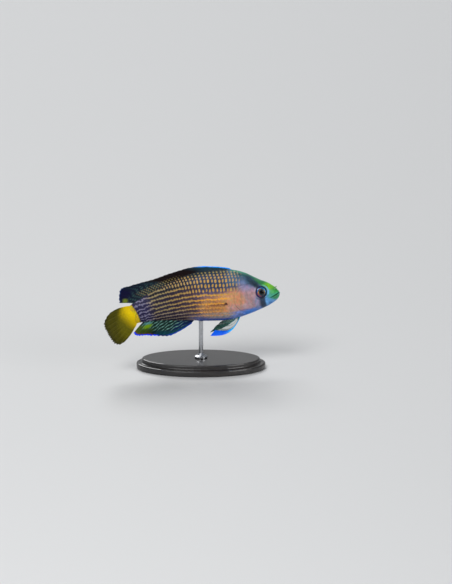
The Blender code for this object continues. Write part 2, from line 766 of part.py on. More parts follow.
def pectoral_fin(name, side):
    """A fan of fine rays that grows from the flank behind the gill cover."""
    columns = 2 * (PECTORAL_RAYS - 1) + 1
    w = np.linspace(0, 1, columns)
    v = np.linspace(0, 1, PECTORAL_ROWS + 1)
    position = w * (PECTORAL_RAYS - 1)
    length = PECTORAL_LENGTH - PECTORAL_SHORTER * (2 * w - PECTORAL_LONGEST) ** 2
    length = length * (1 - RAY_NOTCH * (1 - ray_ridge(position))) + PECTORAL_SINK
    angle = PECTORAL_UP + (PECTORAL_DOWN - PECTORAL_UP) * w
    share = PECTORAL_TOP[0] + (PECTORAL_BOTTOM[0] - PECTORAL_TOP[0]) * w
    root_z = STANDARD_LENGTH * (PECTORAL_TOP[1] + (PECTORAL_BOTTOM[1] - PECTORAL_TOP[1]) * w)
    skin = [body_point(s, turn_at_height(s, z)) for s, z in zip(share, root_z)]
    root_y = np.array([point[1] for point in skin]) - PECTORAL_ROOT_IN
    reach = length[:, None] * v
    x = -(share * STANDARD_LENGTH - PECTORAL_SINK)[:, None] - reach * np.cos(angle)[:, None]
    z = root_z[:, None] + reach * np.sin(angle)[:, None]
    y = root_y[:, None] + reach * math.sin(PECTORAL_SPLAY) - PECTORAL_CUP * v * v
    fin = vane(name, np.stack([x, side * y, z], axis=2), fin_thickness(position, v))
    clear_of_body(fin)
    return fin


def pelvic_fin(name, side):
    """A long pointed fin under the throat, its bowed leading edge turned down and out."""
    splay = PELVIC_SPLAY_LEFT if side > 0 else PELVIC_SPLAY_RIGHT
    bow_depth = PELVIC_BOW_LEFT if side > 0 else PELVIC_BOW_RIGHT
    columns = 2 * (PELVIC_RAYS - 1) + 1
    w = np.linspace(0, 1, columns)
    v = np.linspace(0, 1, PELVIC_ROWS + 1)
    position = w * (PELVIC_RAYS - 1)
    length = PELVIC_INNER_LENGTH + (PELVIC_LENGTH - PELVIC_INNER_LENGTH) * (1 - w) ** PELVIC_TAPER
    length = length * (1 - RAY_NOTCH * (1 - ray_ridge(position))) + PELVIC_SINK
    angle = PELVIC_LEAD_DOWN + (PELVIC_INNER_DOWN - PELVIC_LEAD_DOWN) * w
    root_x = -PELVIC_SHARE * STANDARD_LENGTH - PELVIC_ROOT_WIDTH * w
    belly = np.array([body_size(-x / STANDARD_LENGTH)[1] for x in root_x])
    reach = length[:, None] * v
    bow = bow_depth * np.sin(math.pi * v)[None, :] * (1 - w)[:, None]
    down = reach * np.sin(angle)[:, None] + bow * np.cos(angle)[:, None]
    x = root_x[:, None] - reach * np.cos(angle)[:, None] + bow * np.sin(angle)[:, None]
    z = -belly[:, None] + PELVIC_SINK - down
    y = PELVIC_APART + down * splay - PELVIC_FOLD * w[:, None] * v
    fin = vane(name, np.stack([x, side * y, z], axis=2), fin_thickness(position, v))
    clear_of_body(fin)
    return fin


def spine_table():
    """Places along the posed spine, with its backward, left and up directions at each."""
    shares = np.linspace(*SPINE_RANGE, SPINE_PLACES)
    t = np.clip((shares - BEND_START) / (BEND_END - BEND_START), 0, 1) ** BEND_POWER
    turn = TAIL_TURN * t
    droop = TAIL_DROOP * t
    cos_turn, sin_turn = np.cos(turn), np.sin(turn)
    cos_droop, sin_droop = np.cos(droop), np.sin(droop)
    backward = -np.stack([cos_droop * cos_turn, cos_droop * sin_turn, sin_droop], axis=1)
    left = np.stack([-sin_turn, cos_turn, 0 * turn], axis=1)
    up = np.stack([-sin_droop * cos_turn, -sin_droop * sin_turn, cos_droop], axis=1)
    step = (shares[1] - shares[0]) * STANDARD_LENGTH
    middle = (backward[1:] + backward[:-1]) / 2
    places = np.vstack([np.zeros(3), np.cumsum(middle * step, axis=0)])
    at_rod = [np.interp(ROD_SHARE, shares, places[:, k]) for k in range(3)]
    at_head = [np.interp(BEND_START, shares, places[:, k]) for k in range(3)]
    places -= np.array([at_rod[0], at_rod[1], at_head[2] - AXIS_HEIGHT])
    return shares, places, left, up


SPINE = spine_table()


def posed(points):
    """Carries points of the straight fish to their places along the bent spine."""
    shares, places, left, up = SPINE
    share = -points[:, 0] / STANDARD_LENGTH
    result = np.zeros_like(points)
    for k in range(3):
        result[:, k] = np.interp(share, shares, places[:, k])
        result[:, k] += points[:, 1] * np.interp(share, shares, left[:, k])
        result[:, k] += points[:, 2] * np.interp(share, shares, up[:, k])
    return result


def pose(obj):
    """Splits a straight part into triangles and bends it along the spine."""
    bm = bmesh.new()
    bm.from_mesh(obj.data)
    bmesh.ops.triangulate(bm, faces=bm.faces)
    points = posed(np.array([vert.co for vert in bm.verts]))
    for vert, point in zip(bm.verts, points):
        vert.co = point
    bm.to_mesh(obj.data)
    bm.free()


def stand_base():
    """The oval base: a cylinder scaled to the oval, its top inset and raised, its rims rounded."""
    low_part = BASE_THICKNESS - STEP_HEIGHT
    bm = bmesh.new()
    bmesh.ops.create_cone(
        bm, cap_ends=True, segments=BASE_SIDES, radius1=0.5, radius2=0.5, depth=low_part
    )
    bmesh.ops.scale(bm, vec=(BASE_LENGTH, BASE_WIDTH, 1), verts=bm.verts)
    bmesh.ops.translate(bm, vec=(0, 0, low_part / 2), verts=bm.verts)
    bm.faces.ensure_lookup_table()
    top = max(bm.faces, key=lambda face: face.calc_center_median().z)
    bmesh.ops.inset_region(bm, faces=[top], thickness=STEP_WIDTH, use_even_offset=True)
    raised = bmesh.ops.extrude_face_region(bm, geom=[top])["geom"]
    bmesh.ops.delete(bm, geom=[top], context="FACES_ONLY")
    lifted = [item for item in raised if isinstance(item, bmesh.types.BMVert)]
    bmesh.ops.translate(bm, verts=lifted, vec=(0, 0, STEP_HEIGHT))
    base = object_from("stand_base", bm)
    rims = base.modifiers.new("rims", "BEVEL")
    rims.width = BASE_EDGE
    rims.segments = 2
    rims.limit_method = "ANGLE"
    rims.angle_limit = RIM_ANGLE
    return base


def stand_rod():
    """A turned rod with a collar at its foot, cut at the top to fit the belly."""
    foot = BASE_THICKNESS + GAP
    top = AXIS_HEIGHT - ROD_TOP_DEPTH
    profile = (
        (0.0, top),
        (ROD_RADIUS, top),
        (ROD_RADIUS, foot + COLLAR_HEIGHT),
        (COLLAR_RADIUS * COLLAR_NECK[0], foot + COLLAR_HEIGHT * COLLAR_NECK[1]),
        (COLLAR_RADIUS, foot + COLLAR_HEIGHT * COLLAR_SHOULDER),
        (COLLAR_RADIUS, foot),
        (0.0, foot),
    )
    mesh = bpy.data.meshes.new("stand_rod")
    edges = [(k, k + 1) for k in range(len(profile) - 1)]
    mesh.from_pydata([(x, 0, z) for x, z in profile], edges, [])
    rod = new_object("stand_rod", mesh)
    turning = rod.modifiers.new("turning", "SCREW")
    turning.steps = ROD_SIDES
    turning.render_steps = ROD_SIDES
    turning.use_merge_vertices = True
    turning.merge_threshold = WELD
    belly = body_length("grown_belly", *BELLY_SPAN, BELLY_RINGS, GAP)
    pose(belly)
    combine(rod, "DIFFERENCE", [belly])
    return rod


def main():
    """Builds every part, bends the fish's own along the spine and finishes them all."""
    for obj in list(bpy.data.objects):
        bpy.data.objects.remove(obj)
    fish = [
        (build_head(), HEAD_COLOUR, SKIN_ROUGHNESS),
        (build_jaw(), JAW_COLOUR, SKIN_ROUGHNESS),
        (build_torso(), SKIN_COLOUR, SKIN_ROUGHNESS),
        (build_tail_stalk(), SKIN_COLOUR, SKIN_ROUGHNESS),
        (dorsal_fin(), DORSAL_COLOUR, FIN_ROUGHNESS),
        (anal_fin(), ANAL_COLOUR, FIN_ROUGHNESS),
        (caudal_fin(), CAUDAL_COLOUR, FIN_ROUGHNESS),
    ]
    for side, word in ((1, "left"), (-1, "right")):
        eye = ellipsoid("eye_" + word, eye_place(side, EYE_SINK), EYE_RADIUS, EYE_BULGE)
        fish += [
            (eye, EYE_COLOUR, EYE_ROUGHNESS),
            (gill_cover("gill_cover_" + word, side), HEAD_COLOUR, SKIN_ROUGHNESS),
            (pectoral_fin("pectoral_fin_" + word, side), PECTORAL_COLOUR, FIN_ROUGHNESS),
            (pelvic_fin("pelvic_fin_" + word, side), PELVIC_COLOUR, FIN_ROUGHNESS),
        ]
    for obj, colour, roughness in fish:
        pose(obj)
        finish(obj, colour, roughness)
    finish(stand_base(), BASE_COLOUR, BASE_ROUGHNESS)
    finish(stand_rod(), ROD_COLOUR, ROD_ROUGHNESS, 1.0)


if __name__ == "__main__":
    main()
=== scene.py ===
import math

import bpy
import numpy as np
from mathutils import Matrix, Vector


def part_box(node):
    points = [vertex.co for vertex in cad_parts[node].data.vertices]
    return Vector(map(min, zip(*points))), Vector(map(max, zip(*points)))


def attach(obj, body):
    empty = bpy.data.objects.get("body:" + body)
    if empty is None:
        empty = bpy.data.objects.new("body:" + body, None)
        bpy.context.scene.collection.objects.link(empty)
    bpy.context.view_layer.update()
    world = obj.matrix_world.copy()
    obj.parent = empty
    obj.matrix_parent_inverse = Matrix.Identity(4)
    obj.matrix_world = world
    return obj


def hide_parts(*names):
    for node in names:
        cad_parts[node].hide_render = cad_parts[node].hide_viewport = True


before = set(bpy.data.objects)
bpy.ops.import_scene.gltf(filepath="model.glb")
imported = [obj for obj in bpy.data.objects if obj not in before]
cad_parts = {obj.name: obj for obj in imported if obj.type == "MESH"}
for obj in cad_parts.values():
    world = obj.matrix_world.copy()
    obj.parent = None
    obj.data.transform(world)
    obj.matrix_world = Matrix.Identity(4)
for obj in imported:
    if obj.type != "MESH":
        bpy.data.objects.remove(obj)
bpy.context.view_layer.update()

# Camera: a long lens on the fish's right side, looking down on it a little, as the photo does.
# The fish keeps its place and size in the frame: the snout's tip lies at pixel SNOUT_PIXEL.
mm = 0.001
PHOTO_SIZE = (452, 584)
SNOUT_PIXEL = (280.0, 293.7)
PIXELS_PER_MM = 1.70
VIEW_DOWN = math.radians(15)
VIEW_DISTANCE = 6000 * mm
SENSOR_HEIGHT = 36.0
AXIS_HEIGHT = 45 * mm

snout_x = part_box("lower_jaw")[1].x
target_x = snout_x - (SNOUT_PIXEL[0] - PHOTO_SIZE[0] / 2) / PIXELS_PER_MM * mm
target_up = AXIS_HEIGHT * math.cos(VIEW_DOWN)
target_up += (SNOUT_PIXEL[1] - PHOTO_SIZE[1] / 2) / PIXELS_PER_MM * mm
target = Vector((target_x, 0, target_up / math.cos(VIEW_DOWN)))
camera = bpy.data.objects.new("camera", bpy.data.cameras.new("camera"))
bpy.context.scene.collection.objects.link(camera)
bpy.context.scene.camera = camera
camera.data.sensor_fit = "VERTICAL"
camera.data.sensor_height = SENSOR_HEIGHT
camera.data.lens = SENSOR_HEIGHT * VIEW_DISTANCE / (PHOTO_SIZE[1] / PIXELS_PER_MM * mm)
camera.data.clip_start = 0.01
camera.data.dof.use_dof = False
towards = Vector((0, -math.cos(VIEW_DOWN), math.sin(VIEW_DOWN)))
camera.location = target + towards * VIEW_DISTANCE
camera.rotation_euler = (-towards).to_track_quat("-Z", "Y").to_euler()

# Body form: the fish is laid out straight first, from the snout tip back, as one loft of rounded
# sections, and then bent along one spine, so that the tail turns to its right and droops.
LENGTH = 90 * mm
BODY_STATIONS = (
    (0.000, 0.000, 0.000, 0.000),
    (0.015, 0.028, 0.036, 0.021),
    (0.044, 0.053, 0.060, 0.040),
    (0.086, 0.077, 0.085, 0.054),
    (0.127, 0.092, 0.104, 0.063),
    (0.169, 0.112, 0.123, 0.070),
    (0.231, 0.141, 0.147, 0.077),
    (0.310, 0.160, 0.171, 0.081),
    (0.420, 0.160, 0.181, 0.080),
    (0.520, 0.151, 0.179, 0.074),
    (0.620, 0.131, 0.167, 0.064),
    (0.720, 0.106, 0.152, 0.051),
    (0.850, 0.080, 0.118, 0.034),
    (1.000, 0.067, 0.072, 0.018),
)
BACK_KEENNESS = (0.92, 1.30)
BELLY_KEENNESS = (0.98, 0.88, 1.30)
BEND_START = 0.40
BEND_END = 1.04
BEND_POWER = 1.4
TAIL_TURN = math.radians(39)
TAIL_DROOP = math.radians(26)
ROD_SHARE = 0.515


def smooth_curve(x, places, values):
    """A smooth curve through the given values, by cubic pieces."""
    places = np.asarray(places, float)
    values = np.asarray(values, float)
    slopes = np.gradient(values, places)
    i = np.clip(np.searchsorted(places, x) - 1, 0, len(places) - 2)
    width = places[i + 1] - places[i]
    t = (x - places[i]) / width
    rise = values[i + 1] - values[i]
    bend_in = slopes[i] * width - rise
    bend_out = rise - slopes[i + 1] * width
    return values[i] + t * rise + t * (1 - t) * ((1 - t) * bend_in + t * bend_out)


def ease(x, low, high):
    """0 below low, 1 above high, and a smooth step between them."""
    t = np.clip((np.asarray(x, float) - low) / (high - low), 0, 1)
    return t * t * (3 - 2 * t)


def fall(x, low, high):
    """1 below low, 0 above high, and a smooth step between them."""
    return 1 - ease(x, low, high)


def span(x, start, full, fading, end):
    """1 from full to fading and 0 outside start and end, with smooth steps between them."""
    return ease(x, start, full) * fall(x, fading, end)


def body_size(share):
    """Back height, belly depth and half width at shares of the length, in metres."""
    stations = np.array(BODY_STATIONS)
    roots = np.sqrt(stations[:, 0])
    return [LENGTH * smooth_curve(np.sqrt(share), roots, stations[:, k]) for k in (1, 2, 3)]


def body_points(share, turn):
    """Points of the straight body: turn is 0 on the back's midline and grows to the left."""
    back, belly, half_width = body_size(share)
    blunt, keen = BACK_KEENNESS
    top = blunt + (keen - blunt) * ease(share, 0.15, 0.75)
    front, middle, rear = BELLY_KEENNESS
    bottom = front + (middle - front) * ease(share, 0.15, 0.35)
    bottom = bottom + (rear - middle) * ease(share, 0.48, 0.75)
    keenness = np.where(np.cos(turn) > 0, top, bottom)
    side = np.sin(turn)
    y = half_width * np.sign(side) * np.abs(side) ** keenness
    z = (back - belly) / 2 + (back + belly) / 2 * np.cos(turn)
    return np.stack([-share * LENGTH + 0 * y, y, z], axis=-1)


def turn_at(share, z):
    """The turn on the left side at which the section passes height z."""
    back, belly, _ = body_size(share)
    return np.arccos(np.clip((z - (back - belly) / 2) / ((back + belly) / 2), -1, 1))


def spine():
    """Shares along the spine, its places, and its left and up directions there."""
    shares = np.linspace(-0.1, 1.5, 641)
    t = np.clip((shares - BEND_START) / (BEND_END - BEND_START), 0, 1) ** BEND_POWER
    turn = TAIL_TURN * t
    droop = TAIL_DROOP * t
    cos_turn, sin_turn = np.cos(turn), np.sin(turn)
    cos_droop, sin_droop = np.cos(droop), np.sin(droop)
    backward = -np.stack([cos_droop * cos_turn, cos_droop * sin_turn, sin_droop], axis=1)
    left = np.stack([-sin_turn, cos_turn, 0 * turn], axis=1)
    up = np.stack([-sin_droop * cos_turn, -sin_droop * sin_turn, cos_droop], axis=1)
    middle = (backward[1:] + backward[:-1]) / 2 * (shares[1] - shares[0]) * LENGTH
    places = np.vstack([np.zeros(3), np.cumsum(middle, axis=0)])
    at_rod = [np.interp(ROD_SHARE, shares, places[:, k]) for k in range(3)]
    at_head = np.interp(BEND_START, shares, places[:, 2])
    places -= np.array([at_rod[0], at_rod[1], at_head - AXIS_HEIGHT])
    return shares, places, left, up


SPINE = spine()


def posed(points):
    """Carries points of the straight fish to their places along the bent spine."""
    shares, places, left, up = SPINE
    share = -points[..., 0] / LENGTH
    parts = []
    for k in range(3):
        middle = np.interp(share, shares, places[:, k])
        sideways = points[..., 1] * np.interp(share, shares, left[:, k])
        upward = points[..., 2] * np.interp(share, shares, up[:, k])
        parts.append(middle + sideways + upward)
    return np.stack(parts, axis=-1)


# Head forms: what a preserved head shows in its skin, from the lips to the gill cover's free edge,
# and the low swellings that the fins grow from, pushed out of or into the loft, in millimetres.
# A ridge is given by its place, width and height, and is a crease where the height is below 0.
MOUTH_SLOPE = math.atan2(0.031, 0.066)
MOUTH_START_Z = 1.17
GAPE = 6.6
LIP = (0.52, 0.27, 0.30)
LIP_CREASE = (1.12, 0.16, -0.10)
MOUTH_SLIT = (0.0, 0.15, -0.80)
JAW_PLATE_HEIGHT = 0.16
JAW_PLATE_ALONG = (2.5, 4.5, 7.4, 8.0)
JAW_PLATE_ABOVE_LIP = (0.7, 1.1)
JAW_PLATE_TOP = (1.5, 1.9)
JAW_PLATE_WIDENS = 0.12
JAW_CREASE = (0.0, 0.25, -0.14)
JAW_CREASE_AT = (6.0, -1.8)
JAW_CREASE_ACROSS = (0.67, 0.74)
JAW_CREASE_BACK = (6.0, 7.0, 10.5, 12.0)
EYE_SHARE = 0.121
EYE_Z = 0.0255
EYE_RADIUS = 3.7
EYE_BULGE = 1.7
EYE_SINK = 0.6
SOCKET_RADIUS = 3.5
SOCKET_DEPTH = 1.5
EYE_RIM = (SOCKET_RADIUS + 0.38, 0.30, 0.28)
EYE_CREASE = (SOCKET_RADIUS + 1.15, 0.35, -0.07)
GILL_CENTRE = (19.26, -1.26)
GILL_REACH = 7.56
GILL_LONGER_AHEAD = 4.0
GILL_HEIGHT = 8.46
GILL_STEP = 0.35
GILL_STEP_ACROSS = (-0.12, 0.12)
GILL_TAPER = (-9.0, -2.0)
GILL_EDGE_FROM = (10.76, 17.26)
GILL_EDGE_TOP = (6.5, 8.0)
GILL_GROOVE = (0.22, 0.30, -0.30)
GILL_CREASE = (-1.15, 0.22, -0.09)
CHEEK_CENTRE = (9.6, -0.8)
CHEEK_REACH = 7.2
CHEEK_HEIGHT = 8.2
CHEEK_STEP_HEIGHT = 0.13
CHEEK_STEP_ACROSS = (-0.15, 0.20)
CHEEK_STEP_FROM = (12.0, 16.0)
CHEEK_FROM = (10.5, 13.5)
CHEEK_TOP = (2.0, 5.0)
CHEEK_CREASE = (0.30, 0.22, -0.13)
PECTORAL_ROOT = ((29.97, -3.96), (31.05, -8.64))
PECTORAL_LOBE = (0.0, 1.1, 0.45)
FLANK_SIDE = 3.0
BELLY_Z = -5.0
PELVIC_ROOT = (23.9, 2.1)
PELVIC_LOBE = (0.0, 1.3, 0.35)
DORSAL_BASE = (0.315, 0.970)
ANAL_BASE = (0.575, 0.945)
FIN_SHEATH = (0.0, 0.75, 0.42)
VENT_BACK = ANAL_BASE[0] * LENGTH / mm - 1.6
VENT_LIP = (0.0, 0.7, 0.30)


def bump_at(distance, width):
    """A rounded bump, 1 at no distance."""
    return np.exp(-((distance / width) ** 2))


def ridge_at(distance, form):
    """The height of a ridge or crease at a distance from the line it follows."""
    place, width, height = form
    return height * bump_at(distance - place, width)


def from_stretch(back, z, start, end):
    """The distance, seen from the side, from the stretch between two points."""
    run = np.array(end) - np.array(start)
    t = np.clip(((back - start[0]) * run[0] + (z - start[1]) * run[1]) / (run @ run), 0, 1)
    return np.hypot(back - start[0] - t * run[0], z - start[1] - t * run[1])


def outside_oval(back, z, centre, reach, height):
    """How far a side-view point lies outside an oval, as a share of the oval's size."""
    u = (back - centre[0]) / reach
    v = (z - centre[1]) / height
    return np.hypot(u, v) - 1


def gill_distance(back, z):
    """Roughly how far a side-view point lies outside the gill cover's rounded edge."""
    reach = np.where(back > GILL_CENTRE[0], GILL_REACH, GILL_REACH + GILL_LONGER_AHEAD)
    return outside_oval(back, z, GILL_CENTRE, reach, GILL_HEIGHT) * (GILL_REACH + GILL_HEIGHT) / 2


def mouth_relief(back, z):
    """Lips, slit, upper jaw plate and the crease behind the lower jaw."""
    above = z - MOUTH_START_Z
    across = back * math.sin(MOUTH_SLOPE) + above * math.cos(MOUTH_SLOPE)
    along = back * math.cos(MOUTH_SLOPE) - above * math.sin(MOUTH_SLOPE)
    lips = ridge_at(np.abs(across), LIP) + ridge_at(np.abs(across), LIP_CREASE)
    out = lips * fall(along, GAPE - 2.0, GAPE + 0.2)
    out += ridge_at(across, MOUTH_SLIT) * fall(along, GAPE - 0.5, GAPE + 0.3)
    plate = ease(across, *JAW_PLATE_ABOVE_LIP)
    plate = plate * fall(across - JAW_PLATE_WIDENS * along, *JAW_PLATE_TOP)
    out += JAW_PLATE_HEIGHT * plate * span(along, *JAW_PLATE_ALONG)
    from_crease = (back - JAW_CREASE_AT[0]) * JAW_CREASE_ACROSS[0]
    from_crease += (z - JAW_CREASE_AT[1]) * JAW_CREASE_ACROSS[1]
    return out + ridge_at(from_crease, JAW_CREASE) * span(back, *JAW_CREASE_BACK)


def cheek_relief(back, z):
    """The step and crease along the preopercle, and the gill cover's free edge and groove."""
    cheek = outside_oval(back, z, CHEEK_CENTRE, CHEEK_REACH, CHEEK_HEIGHT)
    cheek = cheek * (CHEEK_REACH + CHEEK_HEIGHT) / 2
    on_cheek = ease(back, *CHEEK_FROM) * fall(z, *CHEEK_TOP)
    step = CHEEK_STEP_HEIGHT * fall(cheek, *CHEEK_STEP_ACROSS) * ease(back, *CHEEK_STEP_FROM)
    out = (step + ridge_at(cheek, CHEEK_CREASE)) * on_cheek
    gill = gill_distance(back, z)
    step = GILL_STEP * fall(gill, *GILL_STEP_ACROSS) * ease(gill, *GILL_TAPER)
    step += ridge_at(gill, GILL_GROOVE) + ridge_at(gill, GILL_CREASE)
    return out + step * ease(back, *GILL_EDGE_FROM) * fall(z, *GILL_EDGE_TOP)


def head_relief(points, share):
    """How far the skin stands out from the loft at each point, in metres."""
    back = -points[..., 0] / mm
    side = np.abs(points[..., 1]) / mm
    z = points[..., 2] / mm
    out = mouth_relief(back, z) + cheek_relief(back, z)

    eye = body_points(EYE_SHARE, turn_at(EYE_SHARE, EYE_Z * LENGTH)) / mm
    from_eye = np.sqrt((back + eye[0]) ** 2 + (side - eye[1]) ** 2 + (z - eye[2]) ** 2)
    out += ridge_at(from_eye, EYE_RIM) + ridge_at(from_eye, EYE_CREASE)
    out -= SOCKET_DEPTH * fall(from_eye, SOCKET_RADIUS - 0.55, SOCKET_RADIUS + 0.05)

    out += ridge_at(from_stretch(back, z, *PECTORAL_ROOT), PECTORAL_LOBE) * (side > FLANK_SIDE)
    from_pelvic = np.hypot(back - PELVIC_ROOT[0], side - PELVIC_ROOT[1])
    out += ridge_at(from_pelvic, PELVIC_LOBE) * (z < BELLY_Z)
    for (start, end), upper in ((DORSAL_BASE, True), (ANAL_BASE, False)):
        here = span(share, start - 0.012, start + 0.01, end - 0.01, end + 0.015)
        out += ridge_at(side, FIN_SHEATH) * here * ((z > 0) == upper)
    out += ridge_at(np.hypot(back - VENT_BACK, side), VENT_LIP) * (z < 0)
    return out * mm


# Skin: one closed surface from the lips to the root of the tail fin, with no seam at the neck, jaw
# or gill covers. It is a fine net on the loft, closest over the head, and carries its own layout
# of scale rows and columns, which the scales and the markings share.
NET_STEPS = ((0.110, 0.14), (0.345, 0.21), (1.0, 0.50))
AROUND = 300
COAT_DEPTH = 0.12
END_ROUNDING = 1.5
END_RINGS = 8
END_KEEPS = 0.90
ROW_HEIGHT = 2.78
ROW_HEIGHT_AT_TAIL = 2.42
LOW_ROWS = 0.93
MIDDLE_ROW = 6.5
MIDDLE_DROP = 0.6
HIGH_ROW = 2.2
HIGH_ROWS = 0.62
COLUMN_STEP = 2.2
COLUMN_STEP_AT_HEAD = 1.86
COLUMN_STEP_AT_TAIL = 1.62
ROW_SLANT = 0.22
SCALED_FROM = (12.0, 13.0)
SCALED_LEAN = 0.2
BARE_ROUND_EYE = (5.1, 5.7)
EYE_RING_RADIUS = 4.3
BARE_THROAT_WAY = (0.80, 0.86)
BARE_THROAT_BACK = (18.0, 20.0)


def ring_shares():
    """Shares of the skin's rings, evenly spaced along its profile for each part of the body."""
    share = np.linspace(0.02, 1, 6000) ** 2
    back, belly, _ = body_size(share)
    walked = np.hypot(np.diff(share) * LENGTH, np.diff((back + belly) / 2)) / mm
    up_to, steps = np.array(NET_STEPS).T
    step = steps[np.searchsorted(up_to, share[1:])]
    count = np.concatenate([[0], np.cumsum(walked / step)])
    return np.interp(np.linspace(0, count[-1], int(count[-1]) + 1), count, share)


def girth_table():
    """For shares and turns on the left side, the way round from the back's midline, 0 to 1."""
    shares = np.linspace(0.0004, 1, 201)
    turns = np.linspace(0, math.pi, 241)
    points = body_points(shares[:, None], turns[None, :])
    steps = np.linalg.norm(np.diff(points, axis=1), axis=2)
    walked = np.concatenate([np.zeros((len(shares), 1)), np.cumsum(steps, axis=1)], axis=1)
    return shares, turns, walked / walked[:, -1:], walked[:, -1] / mm


GIRTH_SHARES, GIRTH_TURNS, GIRTH_WAY, HALF_GIRTH = girth_table()


def way_round(share, turn):
    """The way round the half girth, 0 on the back's midline and 1 on the belly's."""
    share = np.clip(share, GIRTH_SHARES[0], GIRTH_SHARES[-1])
    i = (share - GIRTH_SHARES[0]) / (GIRTH_SHARES[1] - GIRTH_SHARES[0])
    j = np.abs(turn) / (GIRTH_TURNS[1] - GIRTH_TURNS[0])
    i0 = np.clip(i.astype(int), 0, len(GIRTH_SHARES) - 2)
    j0 = np.clip(j.astype(int), 0, len(GIRTH_TURNS) - 2)
    fi, fj = i - i0, j - j0
    near = GIRTH_WAY[i0, j0] * (1 - fj) + GIRTH_WAY[i0, j0 + 1] * fj
    far = GIRTH_WAY[i0 + 1, j0] * (1 - fj) + GIRTH_WAY[i0 + 1, j0 + 1] * fj
    return near * (1 - fi) + far * fi


def row_height(share, below):
    """Height of a row of spots in millimetres: the rows below the middle lie closer."""
    height = ROW_HEIGHT + (ROW_HEIGHT_AT_TAIL - ROW_HEIGHT) * ease(share, 0.5, 0.95)
    return height * np.where(below > 0, LOW_ROWS, 1.0)


COLUMN_SHARES = np.linspace(0, 1.1, 400)
COLUMN_STEPS = COLUMN_STEP + (COLUMN_STEP_AT_TAIL - COLUMN_STEP) * ease(COLUMN_SHARES, 0.40, 0.75)
COLUMN_STEPS += (COLUMN_STEP_AT_HEAD - COLUMN_STEP) * fall(COLUMN_SHARES, 0.28, 0.44)
COLUMNS = np.cumsum((COLUMN_SHARES[1] - COLUMN_SHARES[0]) * LENGTH / mm / COLUMN_STEPS)


def scale_layout(share, way):
    """Column number, row number and way round: spots sit where the first two end in a half."""
    arc = (way - 0.5) * np.interp(share, GIRTH_SHARES, HALF_GIRTH) - MIDDLE_DROP
    row = MIDDLE_ROW + arc / row_height(share, arc)
    row = np.where(row < HIGH_ROW, HIGH_ROW + (row - HIGH_ROW) / HIGH_ROWS, row)
    column = np.interp(share, COLUMN_SHARES, COLUMNS) + ROW_SLANT * row
    return np.stack([column, row, way + 0 * row], axis=-1)


def side_place(points):
    """Back from the snout, out from the middle and up from the axis, in millimetres."""
    return np.stack([-points[..., 0], np.abs(points[..., 1]), points[..., 2]], axis=-1) / mm


def linear(hex_colour):
    """A hex colour as linear red, green and blue."""
    parts = np.array([int(hex_colour[i : i + 2], 16) / 255 for i in (1, 3, 5)])
    return np.where(parts <= 0.04045, parts / 12.92, ((parts + 0.055) / 1.055) ** 2.4)


def lay(colour, hex_colour, amount):
    """Lays a paint over a colour, as thickly as the amount says at each point."""
    return colour + (linear(hex_colour) - colour) * np.clip(amount, 0, 1)[..., None]


def with_coats(colour, *coats):
    """A colour with coats of paint over it in turn, each a hex colour and its amount, 0 to 1."""
    for hex_colour, amount in coats:
        colour = lay(colour, hex_colour, amount)
    return colour


def patch(back, z, centre, reach, soft=0.5):
    """An oval patch seen from the side: 1 inside, 0 outside, with a soft edge. Its centre and
    reach are in the units of the two places, millimetres on the head."""
    from_centre = np.hypot((back - centre[0]) / reach[0], (z - centre[1]) / reach[1])
    return fall(from_centre, 1 - soft, 1 + soft)


def stroke(back, z, start, end, half_width, soft=0.5):
    """A straight brush stroke between two points, seen from the side, in millimetres."""
    return fall(from_stretch(back, z, start, end) / half_width, 1 - soft, 1 + soft)


def flank_paint(share, way, row):
    """Colours between the spots and of the spots on the body, and how strong the spots are."""
    rear = ease(share, 0.50, 0.66)
    ground = with_coats(
        linear("#2a3a52"),
        ("#40607c", fall(share, 0.30, 0.40) * fall(way, 0.24, 0.40)),
        ("#1f3038", fall(way, 0.05, 0.14) * ease(share, 0.30, 0.36)),
        ("#5b5066", ease(way, 0.28, 0.42) * (1 - rear)),
        ("#a0745c", ease(way, 0.40, 0.50) * fall(share, 0.42, 0.60)),
        ("#de9e5e", ease(way, 0.38, 0.48) * fall(share, 0.34, 0.46)),
        ("#b07c4c", patch(share, way, (0.45, 0.62), (0.10, 0.10), 0.6)),
        ("#44323c", ease(share, 0.48, 0.60) * ease(way, 0.16, 0.34)),
        ("#21182e", ease(share, 0.58, 0.74) * ease(way, 0.16, 0.34)),
        ("#10101a", rear * fall(way, 0.16, 0.34)),
        ("#a29690", ease(way, 0.70, 0.80) * fall(share, 0.42, 0.56)),
        ("#7c7284", ease(way, 0.76, 0.86) * span(share, 0.42, 0.52, 0.56, 0.64)),
        ("#3458ac", ease(way, 0.83, 0.90) * fall(share, 0.52, 0.62)),
        ("#1c1640", ease(share, 0.84, 0.90)),
    )

    marks = with_coats(
        linear("#c4984c"),
        ("#98844e", fall(way, 0.06, 0.16)),
        ("#f0aa40", ease(way, 0.40, 0.50) * (1 - rear)),
        ("#dc9c54", ease(way, 0.60, 0.70) * (1 - rear)),
        ("#b08e50", rear),
        ("#9a885e", ease(share, 0.66, 0.80)),
        ("#8f8070", rear * ease(way, 0.60, 0.80)),
        ("#7c7896", ease(share, 0.84, 0.92)),
        ("#a8989c", ease(way, 0.78, 0.86) * fall(share, 0.5, 0.62)),
        ("#b49a70", fall(share, 0.27, 0.36)),
    )

    edge = 5.0 - 2.0 * ease(share, 0.57, 0.67) - 4.5 * ease(share, 0.74, 0.82)
    striped = ease(row, edge - 0.5, edge + 0.4)
    strong = ease(share, 0.225, 0.30 + 0.07 * ease(way, 0.30, 0.50))
    strong = strong * (1 - 0.75 * ease(way, 0.78, 0.88) * fall(share, 0.52, 0.62))
    return ground, marks, striped, strong * ease(way, 0.01, 0.05)


